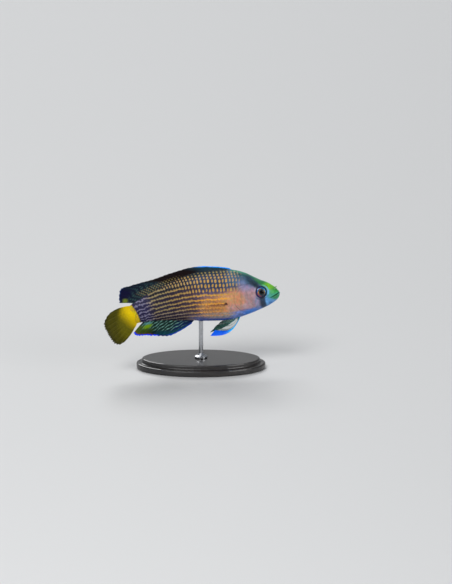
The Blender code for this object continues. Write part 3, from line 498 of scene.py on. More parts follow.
def head_paint(ground, back, z, way, from_eye):
    """The head's colours laid over the body's: green snout and crown, dark bar through the eye."""
    on_head = fall(back, 20.5, 27.0)
    ground = with_coats(
        ground,
        ("#b08c8a", on_head),
        ("#9087a6", on_head * ease(z, 1.5, 6.0)),
        ("#d49468", patch(back, z, (27.0, -1.7), (5.0, 5.6))),
        ("#ba8f88", 0.9 * patch(back, z, (26.4, -7.2), (4.2, 2.6), 0.6)),
        ("#c8966a", 0.55 * patch(back, z, (21.6, -2.4), (1.6, 2.6), 0.5)),
        ("#c4a3a8", 0.5 * patch(back, z, (19.4, -5.8), (2.6, 1.4), 0.6)),
        ("#7089c6", ease(way, 0.71, 0.80) * fall(back, 25.0, 31.0)),
        ("#3a80d8", ease(way, 0.72, 0.84) * fall(back, 18.5, 23.0)),
        ("#446078", fall(way, 0.22, 0.32) * fall(back, 27.0, 33.0)),
        ("#7c8cb8", 0.5 * patch(back, z, (22.6, 8.0), (2.6, 1.5), 0.6)),
        ("#1c5454", fall(way, 0.09, 0.14) * fall(back, 26.0, 31.0)),
        ("#2c7c40", fall(way, 0.15, 0.20) * fall(back, 13.5, 17.5)),
        ("#2f9a72", 0.8 * fall(way, 0.03, 0.07) * fall(back, 26.0, 31.0)),
        ("#1c3a4c", 0.9 * stroke(back, z, (18.6, 9.9), (14.0, 6.6), 1.5, 0.6)),
        ("#182c3a", 0.9 * stroke(back, z, (15.8, 7.9), (13.2, 5.4), 1.0, 0.6)),
    )

    front = fall(back, 8.4, 10.0)
    ground = with_coats(
        ground,
        ("#5e9cd0", front),
        ("#48a684", patch(back, z, (3.4, 0.6), (4.0, 2.8), 0.5)),
        ("#4b88cc", front * ease(way, 0.66, 0.80) * ease(back, 3.2, 5.0)),
        ("#2e8440", fall(back, 9.5, 12.0) * ease(z - back * 0.34, 0.6, 1.9)),
        ("#3fae48", 0.85 * patch(back, z, (3.2, 2.3), (3.0, 1.3), 0.6)),
        ("#74c030", patch(back, z, (6.4, 5.2), (3.6, 1.9), 0.6)),
        ("#3f9a62", patch(back, z, (1.9, -1.2), (2.2, 1.6), 0.5)),
        # painted shade: a dark line along the mouth's slit, darkening the crease
        ("#1c5444", 0.85 * stroke(back, z, (0.0, 1.17), (5.2, -1.27), 0.30, 0.7)),
    )

    ring = 0.95 * bump_at(from_eye - EYE_RING_RADIUS, 0.36) * fall(back, 9.5, 10.7)
    ring = ring * ease(z, -0.6, 1.4) * (1 - 0.7 * ease(z, 4.6, 6.2))
    return with_coats(
        ground,
        ("#78baf8", ring),
        ("#7f8cb0", 0.7 * stroke(back, z, (13.2, -1.4), (12.4, -7.0), 1.9, 0.9)),
        ("#103048", 0.95 * stroke(back, z, (10.3, -1.4), (9.4, -6.4), 1.80, 0.5)),
        ("#2a4660", 0.7 * bump_at(from_eye - EYE_RING_RADIUS, 0.40) * fall(z, -1.4, -0.2)),
        ("#6aa8dc", 0.9 * stroke(back, z, (7.6, -2.0), (6.8, -5.8), 0.8, 0.6)),
    )


def skin_paint(points, share, way):
    """The vector notes that the skin's materials read: ground and spot colours and strengths."""
    place = side_place(points)
    back, _, z = np.moveaxis(place, -1, 0)
    layout = scale_layout(share, way)
    ground, marks, striped, strong = flank_paint(share, way, layout[..., 1])
    ground = head_paint(ground, back, z, way, np.linalg.norm(place - EYE_PLACE, axis=-1))
    strong = strong * (1 - stroke(back, z, (29.5, -4.5), (31.0, -8.5), 2.6, 0.5))
    # painted shadow: a thin dark line on the body from the pectoral fin's root back, where the fin's
    # upper edge casts its shadow
    ground = with_coats(
        ground,
        ("#4a2430", 0.9 * stroke(back, z, (31.0, -4.7), (33.4, -4.8), 0.46, 0.6)),
        ("#6c3c34", 0.75 * stroke(back, z, (33.0, -4.8), (41.0, -5.4), 0.36, 0.8)),
    )
    to_tail = back + 1.5 * way
    ground = lay(ground, "#d8b800", ease(to_tail, 88.6, 89.3))
    strong = strong * fall(to_tail, 88.0, 88.6)
    restless = 0.8 + 0.5 * striped + 2.1 * ease(share, 0.80, 0.90)
    pattern = np.stack([striped, strong, restless], axis=-1)
    return {"ground": ground, "marks": marks, "pattern": pattern, "scales": layout, "place": place}


def net_faces(rings, columns, closed):
    """Quads over a grid of points, counted ring by ring, joined round if closed."""
    i = np.arange(rings - 1)[:, None]
    j = np.arange(columns if closed else columns - 1)[None, :]
    after = (j + 1) % columns
    corners = (i * columns + j, i * columns + after, (i + 1) * columns + after, (i + 1) * columns + j)
    return np.stack(np.broadcast_arrays(*corners), axis=-1).reshape(-1, 4)


def new_piece(name, points, faces, notes, material):
    """A smooth mesh piece with vector notes on its points, which its material reads."""
    mesh = bpy.data.meshes.new(name)
    mesh.from_pydata(points.reshape(-1, 3).tolist(), [], [list(face) for face in faces])
    for note, values in notes.items():
        made = mesh.attributes.new(note, "FLOAT_VECTOR", "POINT")
        made.data.foreach_set("vector", np.ascontiguousarray(values, dtype=np.float32).ravel())
    mesh.materials.append(material)
    mesh.shade_smooth()
    mesh.update()
    piece = bpy.data.objects.new(name, mesh)
    bpy.context.scene.collection.objects.link(piece)
    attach(piece, "root")
    return piece


def add_unwrap(piece, places):
    """The piece's unwrap for baking, from a place on the map for each of its points."""
    mesh = piece.data
    corners = np.zeros(len(mesh.loops), dtype=np.int32)
    mesh.loops.foreach_get("vertex_index", corners)
    unwrap = mesh.uv_layers.new(name="OFBake")
    unwrap.data.foreach_set("uv", places.reshape(-1, 2)[corners].astype(np.float32).ravel())


def join(made, joins):
    """Joins a node's inputs to sockets, or fills them with plain values."""
    for place, value in joins.items():
        if isinstance(value, bpy.types.NodeSocket):
            made.id_data.links.new(value, made.inputs[place])
        else:
            made.inputs[place].default_value = value


def node(tree, kind, joins=None, out=0, **settings):
    """Adds a node with its settings to a tree, joins its inputs and gives one of its outputs."""
    made = tree.nodes.new("ShaderNode" + kind)
    for name, value in settings.items():
        setattr(made, name, value)
    join(made, joins or {})
    return made.outputs[out]


def new_material(name):
    """A material with an empty Principled shader, its tree and that shader."""
    material = bpy.data.materials.new(name)
    material.use_nodes = True
    return material, material.node_tree, material.node_tree.nodes["Principled BSDF"]


# Markings: what pigment cells draw in the living skin and the painter lays on the cast. Gold spots
# sit on every other row of scales, run together into wavy lines lower down and to the rear, and
# fade over shoulder and belly. Skin and scales share this group, sized in places of the layout.
SPOT_HALF_LENGTH = 0.25
SPOT_HALF_HEIGHT = 0.36
SPOT_VARIES = 0.22
SPOT_SHRINKS = 0.35
LINE_HALF_HEIGHT = 0.21
LINE_NARROWS = 0.34
LINE_FRAYS = 0.46
DRIFTS_PER_PLACE = 0.75
FRAYS_PER_PLACE = 2.6
CLOUDS_PER_MM = 0.55
STREAKS_PER_MM = 0.9
DRIFT = (0.50, 0.42, 0.0)
SCATTER = (0.12, 0.12, 0.0)
MIDDLE = (0.5, 0.5, 0.0)
FLAT = (1.0, 1.0, 0.0)
WARM = (1.16, 0.93, 1.02)
COOL = (0.82, 1.05, 1.12)
markings = bpy.data.node_groups.new("markings", "ShaderNodeTree")
markings.interface.new_socket("Colour", in_out="OUTPUT", socket_type="NodeSocketColor")
markings.interface.new_socket("Mark", in_out="OUTPUT", socket_type="NodeSocketFloat")
ground, marks, scales, place, pattern = [
    node(markings, "Attribute", out="Vector", attribute_name=note)
    for note in ("ground", "marks", "scales", "place", "pattern")
]
striped, strong, restless = node(markings, "SeparateXYZ", {0: pattern}).node.outputs

# each place of the layout is shifted a little, and its spot again by chance
drift = {"Vector": scales, "Scale": DRIFTS_PER_PLACE, "Detail": 1.0}
drift = node(markings, "TexNoise", drift, "Color")
drift = node(markings, "VectorMath", {0: drift, 1: (0.5, 0.5, 0.5)}, operation="SUBTRACT")
drift = node(markings, "VectorMath", {0: drift, 1: DRIFT}, operation="MULTIPLY")
drift = node(markings, "VectorMath", {0: drift, "Scale": restless}, operation="SCALE")
spread = node(markings, "VectorMath", {0: scales, 1: drift}, operation="ADD")
flat = node(markings, "VectorMath", {0: spread, 1: FLAT}, operation="MULTIPLY")
cell = node(markings, "VectorMath", {0: flat}, operation="FLOOR")
inside = node(markings, "VectorMath", {0: flat, 1: cell}, operation="SUBTRACT")
inside = node(markings, "VectorMath", {0: inside, 1: MIDDLE}, operation="SUBTRACT")
chance = node(markings, "TexWhiteNoise", {"Vector": cell}, noise_dimensions="3D").node.outputs
off = node(markings, "VectorMath", {0: chance["Color"], 1: MIDDLE}, operation="SUBTRACT")
off = node(markings, "VectorMath", {0: off, 1: SCATTER}, operation="MULTIPLY")
offset = node(markings, "VectorMath", {0: inside, 1: off}, operation="ADD")

# a spot is an upright oval, of varied size and smaller where the markings fade
lean = {0: offset, 1: (1.0, -ROW_SLANT, 0.0)}
leaned = node(markings, "VectorMath", lean, "Value", operation="DOT_PRODUCT")
level = node(markings, "SeparateXYZ", {0: offset}, "Y")
upright = node(markings, "CombineXYZ", {0: leaned, 1: level})
size = (1 / SPOT_HALF_LENGTH, 1 / SPOT_HALF_HEIGHT, 0.0)
oval = node(markings, "VectorMath", {0: upright, 1: size}, operation="MULTIPLY")
reach = node(markings, "VectorMath", {0: oval}, "Value", operation="LENGTH")
varied = {0: chance["Value"], 1: SPOT_VARIES, 2: reach}
grow = node(markings, "Math", varied, operation="MULTIPLY_ADD")
small = node(markings, "Math", {0: 1.0, 1: strong}, operation="SUBTRACT")
grow = node(markings, "Math", {0: small, 1: SPOT_SHRINKS, 2: grow}, operation="MULTIPLY_ADD")
soft = {0: grow, "From Min": 1.34, "From Max": 0.94}
spot = node(markings, "MapRange", soft, interpolation_type="SMOOTHSTEP")

# a line keeps to its row, is narrower between two places and frays at its edges
beside, away, _ = node(markings, "SeparateXYZ", {0: inside}).node.outputs
away = node(markings, "Math", {0: away}, operation="ABSOLUTE")
beside = node(markings, "Math", {0: beside}, operation="ABSOLUTE")
fray = {"Vector": scales, "Scale": FRAYS_PER_PLACE, "Detail": 2.0}
fray = node(markings, "TexNoise", fray)
away = node(markings, "Math", {0: beside, 1: LINE_NARROWS, 2: away}, operation="MULTIPLY_ADD")
away = node(markings, "Math", {0: fray, 1: LINE_FRAYS, 2: away}, operation="MULTIPLY_ADD")
soft = {0: away, "From Min": LINE_HALF_HEIGHT + 0.36, "From Max": LINE_HALF_HEIGHT + 0.18}
line = node(markings, "MapRange", soft, interpolation_type="SMOOTHSTEP")
mark = node(markings, "Mix", {0: striped, 2: spot, 3: line})
mark = node(markings, "Math", {0: mark, 1: strong}, operation="MULTIPLY")

# the ground is clouded, and streaked warmer and cooler
cloud = node(markings, "TexNoise", {"Vector": place, "Scale": CLOUDS_PER_MM, "Detail": 4.0})
tall = node(markings, "VectorMath", {0: place, 1: (1.6, 1.0, 0.45)}, operation="MULTIPLY")
streak = node(markings, "TexNoise", {"Vector": tall, "Scale": STREAKS_PER_MM, "Detail": 3.0})
clouded = {0: cloud, "From Min": 0.25, "From Max": 0.75, "To Min": 0.72, "To Max": 1.25}
shade = node(markings, "MapRange", clouded)
tone = node(markings, "VectorMath", {0: ground, "Scale": shade}, operation="SCALE")
warm = node(markings, "VectorMath", {0: tone, 1: WARM}, operation="MULTIPLY")
cool = node(markings, "VectorMath", {0: tone, 1: COOL}, operation="MULTIPLY")
lean = node(markings, "MapRange", {0: streak, "From Min": 0.35, "From Max": 0.65})
tone = node(markings, "Mix", {0: lean, 4: cool, 5: warm}, 1, data_type="VECTOR")
frayed = {0: fray, "From Min": 0.3, "From Max": 0.7, "To Min": 0.85, "To Max": 1.12}
bright = node(markings, "MapRange", frayed)
gold = node(markings, "VectorMath", {0: marks, "Scale": bright}, operation="SCALE")
marked = node(markings, "Mix", {0: mark, 4: tone, 5: gold}, 1, data_type="VECTOR")
join(markings.nodes.new("NodeGroupOutput"), {"Colour": marked, "Mark": mark})

# The skin's own finish: a thin, wet hide, cast in resin. It shines broadly, is finely wrinkled
# and pored, and varnish stands for its mucus. A scale named PER_MM counts a pattern's features to
# the millimetre, as the notes of places are in millimetres.
SKIN_PORES_PER_MM = 2.2
SKIN_GRAIN_PER_MM = 2.8
cast_skin, tree, shader = new_material("varnished fish skin")
place = node(tree, "Attribute", out="Vector", attribute_name="place")
pores = {"Vector": place, "Scale": SKIN_PORES_PER_MM}
pores = node(tree, "TexVoronoi", pores, "Distance", feature="SMOOTH_F1")
grain = node(tree, "TexNoise", {"Vector": place, "Scale": SKIN_GRAIN_PER_MM, "Detail": 5.0})
height = node(tree, "Math", {0: pores, 1: 0.5, 2: grain}, operation="MULTIPLY_ADD")
join(shader, {
    "Base Color": node(tree, "Group", node_tree=markings),
    "Roughness": node(tree, "MapRange", {0: grain, "To Min": 0.30, "To Max": 0.46}),
    "Normal": node(tree, "Bump", {"Height": height, "Strength": 0.35, "Distance": 0.00006}),
    "IOR": 1.35,
    "Coat Weight": 0.14,
    "Coat Roughness": 0.14,
})

EYE_PLACE = side_place(body_points(EYE_SHARE, turn_at(EYE_SHARE, EYE_Z * LENGTH)))
turns = np.linspace(0, 2 * math.pi, AROUND, endpoint=False) - math.pi
skin_share, skin_turn = np.meshgrid(ring_shares(), turns, indexing="ij")


def loft_normals(share, turn):
    """The loft's outward directions, by small steps along it and round it."""
    step = 1e-4
    high = np.maximum(share, 5 * step)
    along = body_points(high + step, turn) - body_points(high - step, turn)
    around = body_points(high, turn + step) - body_points(high, turn - step)
    normals = np.cross(around, along)
    return normals / (np.linalg.norm(normals, axis=-1, keepdims=True) + 1e-15)


def scaled_area(place, way):
    """1 where scales may cover the skin, 0 on the bare snout, throat and ring round the eye."""
    back, _, z = np.moveaxis(place, -1, 0)
    from_eye = np.linalg.norm(place - EYE_PLACE, axis=-1)
    area = ease(back + z * SCALED_LEAN, *SCALED_FROM) * ease(from_eye, *BARE_ROUND_EYE)
    return area * (1 - ease(way, *BARE_THROAT_WAY) * fall(back, *BARE_THROAT_BACK))


skin_way = way_round(skin_share, skin_turn)
loft = body_points(skin_share, skin_turn)
covered = scaled_area(side_place(loft), skin_way)
relief = head_relief(loft, skin_share) - COAT_DEPTH * mm * covered
net = loft + loft_normals(skin_share, skin_turn) * relief[..., None]
end_rings = []
for part in np.linspace(0, 1, END_RINGS + 1)[1:]:
    round_off = math.sqrt(1 - (0.995 * part) ** 2)
    end_rings.append(net[-1] * (1, round_off, END_KEEPS + (1 - END_KEEPS) * round_off))
    end_rings[-1][:, 0] -= END_ROUNDING * mm * part
net = np.concatenate([net, np.array(end_rings)])
net_share = np.concatenate([skin_share, np.ones((END_RINGS, AROUND))])
net_way = np.concatenate([skin_way, np.repeat(skin_way[-1:], END_RINGS, axis=0)])
faces = net_faces(len(net), AROUND, True).tolist()
faces.append(list(range(AROUND)))
faces.append([(len(net) - 1) * AROUND + k for k in reversed(range(AROUND))])
skin = new_piece("skin", posed(net), faces, skin_paint(net, net_share, net_way), cast_skin)
FLESH = ("head", "lower_jaw", "gill_cover_left", "gill_cover_right", "torso", "tail_stalk")
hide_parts(*FLESH)

# Scales: thin plates of bone in the skin, each rooted under the one before and free at its rear
# edge. There is one for each place of the layout, half a place on in every other row, and smaller
# ones on nape and cheek. They are cast with the skin, so they share its paint and varnish.
PLATE_LENGTH = 1.42
PLATE_AHEAD = 0.18
PLATE_CURVE = 0.30
PLATE_SINK = 0.12
PLATE_PROUD = 0.03
PLATE_LEAVES_SKIN = -0.4
PLATE_LIFT = 0.15
PLATE_LIFT_POWER = 1.3
PLATE_THICKNESS = 0.05
PLATE_STEPS = (5, 7)
MIDLINE_CLEAR = 0.35
MIDLINE_OVERLAP = 0.1
PLATE_SPREAD = 0.54
PLATE_NARROWS = 0.07
PLATE_DROOP = 0.04
SIZE_VARIES = 0.12
TILT_VARIES = 0.05
COAT_ROWS = (-3, 14)
COAT_COLUMNS = (4, 60)
HEAD_FINENESS = 1.7
HEAD_SCALES_END = 23.6
GILL_BARE_AHEAD = 1.7
GILL_BARE_BEHIND = 0.4
GILL_BARE_FROM = 11.26
GILL_BARE_TOP = 7.0
FIN_ROOT_BARE = 1.9
VENT_BARE = 1.2
SHEATH_BARE = 1.0
LAST_SCALES = 0.992
PATCH_HALF = 0.0018
SIDES = ((1, "_left"), (-1, "_right"))


def turn_round(share, way):
    """The turn at which a share's section has gone a given way round."""
    low, high = np.zeros_like(way), np.full_like(way, math.pi)
    for _ in range(16):
        middle = (low + high) / 2
        short = way_round(share, middle) < way
        low = np.where(short, middle, low)
        high = np.where(short, high, middle)
    return (low + high) / 2


def layout_place(column, row):
    """Share, way round and turn for a place of the layout. A way past a midline comes back."""
    share = np.interp(column - ROW_SLANT * row, COLUMNS, COLUMN_SHARES)
    even = np.where(row < HIGH_ROW, HIGH_ROW + (row - HIGH_ROW) * HIGH_ROWS, row)
    arc = (even - MIDDLE_ROW) * row_height(share, even - MIDDLE_ROW) + MIDDLE_DROP
    way = 0.5 + arc / np.interp(share, GIRTH_SHARES, HALF_GIRTH)
    turn = turn_round(share, np.where(way > 1, 2 - way, np.abs(way)))
    turn = np.where(way < 0, -turn, np.where(way > 1, 2 * math.pi - turn, turn))
    return share, way, turn


def has_scale(share, way, turn, fineness):
    """Whether a scale grows at a place, clear of gill edge, fin roots, eye and bare skin. Fine ones
    grow on the head and its gill covers, full ones behind."""
    place = side_place(body_points(share, turn))
    back, side, z = np.moveaxis(place, -1, 0)
    grown = (scaled_area(place, way) > 0.5) & (share < LAST_SCALES)
    gill = gill_distance(back, z)
    grown &= ((back < HEAD_SCALES_END) | (gill < 0)) == (fineness > 1)
    at_gill = (gill > -GILL_BARE_AHEAD) & (gill < GILL_BARE_BEHIND + 2.0 / fineness)
    grown &= ~(at_gill & (z < GILL_BARE_TOP) & (back > GILL_BARE_FROM))
    grown &= stroke(back, z, *PECTORAL_ROOT, FIN_ROOT_BARE) < 0.5
    from_pelvic = np.hypot(back - PELVIC_ROOT[0], side - PELVIC_ROOT[1])
    grown &= (from_pelvic > FIN_ROOT_BARE) | (z > BELLY_Z)
    for (start, end), upper in ((DORSAL_BASE, True), (ANAL_BASE, False)):
        in_base = (share > start - 0.015) & (share < end + 0.01) & ((z > 0) == upper)
        grown &= ~(in_base & (side < SHEATH_BARE))
    return grown & ((np.hypot(back - VENT_BACK, side) > VENT_BARE) | (z > 0))


def coat_places(fineness, from_midline):
    """Columns and rows of one side's scales of a fineness, clear of the midlines."""
    half = 0.5 / fineness
    rows = np.arange(*COAT_ROWS, half)
    row, column = np.meshgrid(rows, np.arange(*COAT_COLUMNS, 1 / fineness), indexing="ij")
    column = column + (np.arange(len(rows)) % 2)[:, None] * half
    column, row = column.ravel(), row.ravel()
    share, way, turn = layout_place(column, row)
    round_side = np.minimum(way, 1 - way) * np.interp(share, GIRTH_SHARES, HALF_GIRTH)
    kept = (round_side > from_midline) & has_scale(share, way, turn, fineness)
    return column[kept], row[kept], np.full(kept.sum(), fineness)


def rim_of(grid):
    """The point numbers round the edge of a grid of them, in order."""
    return np.concatenate([grid[0], grid[1:, -1], grid[-1, -2::-1], grid[-2:0:-1, 0]]).tolist()


def plate_faces(side):
    """A closed plate's faces: its net above, walls round its rim and one face below."""
    count = math.prod(PLATE_STEPS)
    rim = rim_of(np.arange(count).reshape(PLATE_STEPS))
    walls = [[a + count, b + count, b, a] for a, b in zip(rim, rim[1:] + rim[:1])]
    bottom = [k + count for k in reversed(rim)]
    plate = net_faces(*PLATE_STEPS, False).tolist() + walls + [bottom]
    return plate if side > 0 else [face[::-1] for face in plate]


def coat_of_scales(name, side, chance, material):
    """One side's scales as a single mesh of closed plates, with their notes and unwrap. The left
    side's reach past the midline, the right side's stop short of it, so that none cross."""
    from_midline = -MIDLINE_OVERLAP if side > 0 else MIDLINE_CLEAR
    coats = [coat_places(fineness, from_midline) for fineness in (HEAD_FINENESS, 1.0)]
    column, row, fineness = (np.concatenate(pair)[:, None, None] for pair in zip(*coats))
    count = len(column)
    along = np.linspace(-1, 1, PLATE_STEPS[0])[None, :, None]
    across = np.linspace(-1, 1, PLATE_STEPS[1])[None, None, :]
    size = (1 + SIZE_VARIES * (chance.random(count) - 0.5))[:, None, None] / fineness
    tilt = TILT_VARIES * (chance.random(count) - 0.5)[:, None, None]
    reach = along - PLATE_CURVE * across**2 * (along + 1) - PLATE_AHEAD
    spread = across * (1 + PLATE_NARROWS * (along - 1)) + tilt * along
    columns = column + size * PLATE_LENGTH / 2 * reach
    share, way, turn = layout_place(columns, row + size * PLATE_SPREAD * spread)
    free = np.clip((along - PLATE_LEAVES_SKIN) / (1 - PLATE_LEAVES_SKIN), 0, 1)
    rise = (PLATE_SINK + PLATE_PROUD) * ease(along, -1, PLATE_LEAVES_SKIN) - PLATE_SINK
    rise = rise + PLATE_LIFT * free**PLATE_LIFT_POWER - PLATE_DROOP * across**2
    rise = rise * (0.6 + 0.4 / fineness)
    under = -PLATE_THICKNESS * (0.4 + 0.6 * (1 - np.abs(along)))
    loft = body_points(share, turn)
    outward = loft_normals(share, turn)
    skin_height = head_relief(loft, share) - COAT_DEPTH * mm
    sheets = [loft + outward * (skin_height + mm * h)[..., None] for h in (rise, rise + under)]
    points = np.stack(sheets, axis=1) * (1, side, 1)
    per_plate = 2 * math.prod(PLATE_STEPS)
    plate = plate_faces(side)
    faces = [[k + per_plate * n for k in face] for n in range(count) for face in plate]
    both = [np.stack([value, value], axis=1) for value in (share, way)]
    notes = skin_paint(points, *both)
    own = (along[:, None], across[:, None], chance.random(count)[:, None, None, None])
    notes["plate"] = np.stack([np.broadcast_to(value, both[0].shape) for value in own], axis=-1)
    coat = new_piece(name, posed(points), faces, notes, material)
    centre_share, centre_way, _ = layout_place(column, row)
    centre = np.stack([centre_share, 0.5 + 0.48 * side * centre_way], axis=-1)
    add_unwrap(coat, centre[:, None] + notes["plate"][..., :2] * PATCH_HALF)
    return coat


# The plates' finish: clear bone over the painted skin, with growth rings, and a painted highlight
# that lightens each plate's rear edge.
RINGS_PHASE = 26.0
PLATE_GRAIN_PER_MM = 3.0
scale_bone, tree, shader = new_material("varnished fish scales")
plate, place = [
    node(tree, "Attribute", out="Vector", attribute_name=note) for note in ("plate", "place")
]
along, across, draw = node(tree, "SeparateXYZ", {0: plate}).node.outputs
squared = node(tree, "Math", {0: across, 1: 2.0}, operation="POWER")
edge = node(tree, "Math", {0: squared, 1: 0.30, 2: along}, operation="MULTIPLY_ADD")
# painted highlight: the base colour is lightened towards each plate's rear edge, and varied at random
# from plate to plate
at_edge = {0: edge, "From Min": 0.72, "From Max": 1.0, "To Min": 1.0, "To Max": 1.28}
painted_rim_highlight = node(tree, "MapRange", at_edge)
varied = node(tree, "MapRange", {0: draw, "To Min": 0.92, "To Max": 1.08})
lit = node(tree, "Math", {0: painted_rim_highlight, 1: varied}, operation="MULTIPLY")
paint = node(tree, "Group", node_tree=markings)
rings = node(tree, "Math", {0: edge, 1: RINGS_PHASE}, operation="MULTIPLY")
rings = node(tree, "Math", {0: rings}, operation="SINE")
grain = node(tree, "TexNoise", {"Vector": place, "Scale": PLATE_GRAIN_PER_MM, "Detail": 4.0})
height = node(tree, "Math", {0: rings, 1: 0.12, 2: grain}, operation="MULTIPLY_ADD")
join(shader, {
    "Base Color": node(tree, "VectorMath", {0: paint, "Scale": lit}, operation="SCALE"),
    "Roughness": node(tree, "MapRange", {0: grain, "To Min": 0.26, "To Max": 0.42}),
    "Normal": node(tree, "Bump", {"Height": height, "Strength": 0.3, "Distance": 0.00005}),
    "IOR": 1.35,
    "Coat Weight": 0.14,
    "Coat Roughness": 0.12,
})

skin_sides = np.sign(np.sin(turns))[None, :]
add_unwrap(skin, np.stack([net_share, 0.5 + 0.48 * skin_sides * net_way], axis=-1))
chance = np.random.default_rng(7)
for side, word in SIDES:
    coat = coat_of_scales("scales" + word, side, chance, scale_bone)

# Nostrils: a short flared tube of thin skin on each side of the snout, just behind the lip, that
# leans up and forward. The rear pair, plain pits before the eyes, are not made.
NOSTRIL_SHARE = 0.033
NOSTRIL_TURN = math.radians(34)
NOSTRIL_LENGTH = 1.25
NOSTRIL_PROFILE = (
    (0.00, 0.10),
    (0.20, 0.16),
    (0.24, 0.60),
    (0.26, 0.95),
    (0.33, 1.00),
    (0.41, 0.95),
    (0.38, 0.80),
    (0.34, 0.55),
    (0.40, 0.30),
    (0.58, 0.02),
    (0.62, -0.20),
    (0.00, -0.22),
)
NOSTRIL_LEAN = 0.7
NOSTRIL_SLIM = 0.62
NOSTRIL_SIDES = 20
NOSTRIL_GRAIN_PER_MM = 6.0


def aimed(point, outward, hint):
    """A matrix at a point whose Z axis is outward and whose X axis is near the hint."""
    z_axis = Vector(outward).normalized()
    x_axis = Vector(hint) - z_axis * Vector(hint).dot(z_axis)
    x_axis.normalize()
    turned = Matrix((x_axis, z_axis.cross(x_axis), z_axis)).transposed()
    return np.array(Matrix.Translation(Vector(point)) @ turned.to_4x4())


def turned_points(profile, sides):
    """Points of a profile of radii and heights turned round the Z axis."""
    profile = np.array(profile, float)
    angle = np.linspace(0, 2 * math.pi, sides, endpoint=False)[None, :]
    radius = profile[:, 0][:, None]
    height = profile[:, 1][:, None] + 0 * angle
    return np.stack([radius * np.cos(angle), radius * np.sin(angle), height], axis=-1)


def fill_ramp(ramp, *stops):
    """Sets a colour ramp's two ends, each a place on it and a hex colour."""
    for end, (position, tone) in zip(ramp.node.color_ramp.elements, stops):
        end.position = position
        end.color = (*linear(tone), 1)


def moved(points, matrix):
    """Points carried by a matrix."""
    return points @ matrix[:3, :3].T + matrix[:3, 3]


tube_skin, tree, shader = new_material("thin pale skin")
place = node(tree, "Attribute", out="Vector", attribute_name="place")
grain = {"Vector": place, "Scale": NOSTRIL_GRAIN_PER_MM, "Detail": 3.0}
grain = node(tree, "TexNoise", grain)
mottled = node(tree, "ValToRGB", {0: grain})
fill_ramp(mottled, (0.35, "#3c8444"), (0.65, "#76ac62"))
join(shader, {
    "Base Color": mottled,
    "Normal": node(tree, "Bump", {"Height": grain, "Strength": 0.3, "Distance": 0.00005}),
    "Roughness": 0.34,
    "Coat Weight": 0.3,
})
for side, word in SIDES:
    point = body_points(NOSTRIL_SHARE, NOSTRIL_TURN) * (1, side, 1)
    outward = loft_normals(np.array(NOSTRIL_SHARE), NOSTRIL_TURN) * (1, side, 1)
    lean = outward + np.array([NOSTRIL_LEAN, 0, 0])
    place = aimed(point, lean, (1, 0, 0))
    shape = turned_points(NOSTRIL_PROFILE, NOSTRIL_SIDES) * (NOSTRIL_SLIM, NOSTRIL_SLIM, 1)
    tube = moved(shape * NOSTRIL_LENGTH * mm, place)
    faces = net_faces(len(NOSTRIL_PROFILE), NOSTRIL_SIDES, True).tolist()
    notes = {"place": side_place(tube)}
    piece = new_piece("nostril" + word, posed(tube), faces, notes, tube_skin)

# Eyes: glass eyes, painted from behind and let into the sockets. The pupil stands a little proud
# within a gold ring, and the rest of the iris is dark blue with a cyan arc above.
PUPIL_RADIUS = 1.38
PUPIL_AT = (0.20, -0.10)
PUPIL_BULGE = 0.14
IRIS_FIBRES = 7.0
SMEARS_PER_MM = 0.8
EYE_SIDES = 112
EYE_STEPS = 44


def iris_paint(forward, up):
    """The iris colours for places in the eye's own plane, in millimetres."""
    radius = np.hypot(forward, up)
    around = np.hypot(forward - PUPIL_AT[0] / 2, up - PUPIL_AT[1] / 2)
    angle = np.arctan2(up, forward)
    top = ease(up, -1.4, 0.8)
    rear = ease(-forward, -0.6, 1.2)
    broken = 0.6 + 0.4 * np.sin(5 * angle + 1.0) * np.sin(9 * angle)
    colour = with_coats(
        linear("#0e1734"),
        ("#24285e", 0.8 * ease(radius, 2.9, 3.2) * np.maximum(top, rear)),
        ("#0e2440", fall(radius, 2.5, 2.8)),
        ("#1c9cdc", 0.9 * bump_at(radius - 2.52, 0.17) * top),
        ("#6c3a6c", 0.8 * bump_at(radius - 2.62, 0.22) * rear * (1 - top)),
        ("#dc5c28", 0.9 * bump_at(around - 2.24, 0.17) * rear * broken),
        ("#d8b034", bump_at(around - 1.88, 0.19) * broken * (1 - 0.50 * np.abs(up))),
        ("#1c5a62", 0.6 * bump_at(around - 1.60, 0.10)),
    )
    pupil = np.hypot(forward - PUPIL_AT[0], up - PUPIL_AT[1])
    return lay(colour, "#030305", fall(pupil, PUPIL_RADIUS - 0.08, PUPIL_RADIUS + 0.06))


eye_glass, tree, shader = new_material("painted glass eye")
paint, iris = [
    node(tree, "Attribute", out="Vector", attribute_name=note) for note in ("ground", "iris")
]
spoke = node(tree, "VectorMath", {0: iris, 1: FLAT}, operation="MULTIPLY")
spoke = node(tree, "VectorMath", {0: spoke}, operation="NORMALIZE")
ringed = node(tree, "VectorMath", {0: iris, 1: (0.0, 0.0, 0.5)}, operation="MULTIPLY")
spoke = node(tree, "VectorMath", {0: spoke, 1: ringed}, operation="ADD")
fibres = node(tree, "TexNoise", {"Vector": spoke, "Scale": IRIS_FIBRES, "Detail": 4.0})
fibred = {0: fibres, "From Min": 0.3, "From Max": 0.7, "To Min": 0.6, "To Max": 1.45}
shade = node(tree, "MapRange", fibred)
smear = node(tree, "TexNoise", {"Vector": iris, "Scale": SMEARS_PER_MM, "Detail": 2.0})
join(shader, {
    "Base Color": node(tree, "VectorMath", {0: paint, "Scale": shade}, operation="SCALE"),
    "Roughness": node(tree, "MapRange", {0: smear, "To Min": 0.05, "To Max": 0.12}),
    "IOR": 1.36,
    "Coat Weight": 0.12,
    "Coat Roughness": 0.03,
})
tip = np.linspace(0, math.pi, EYE_STEPS)
lens = np.stack([np.sin(tip) * EYE_RADIUS, np.cos(tip) * EYE_BULGE], axis=1)
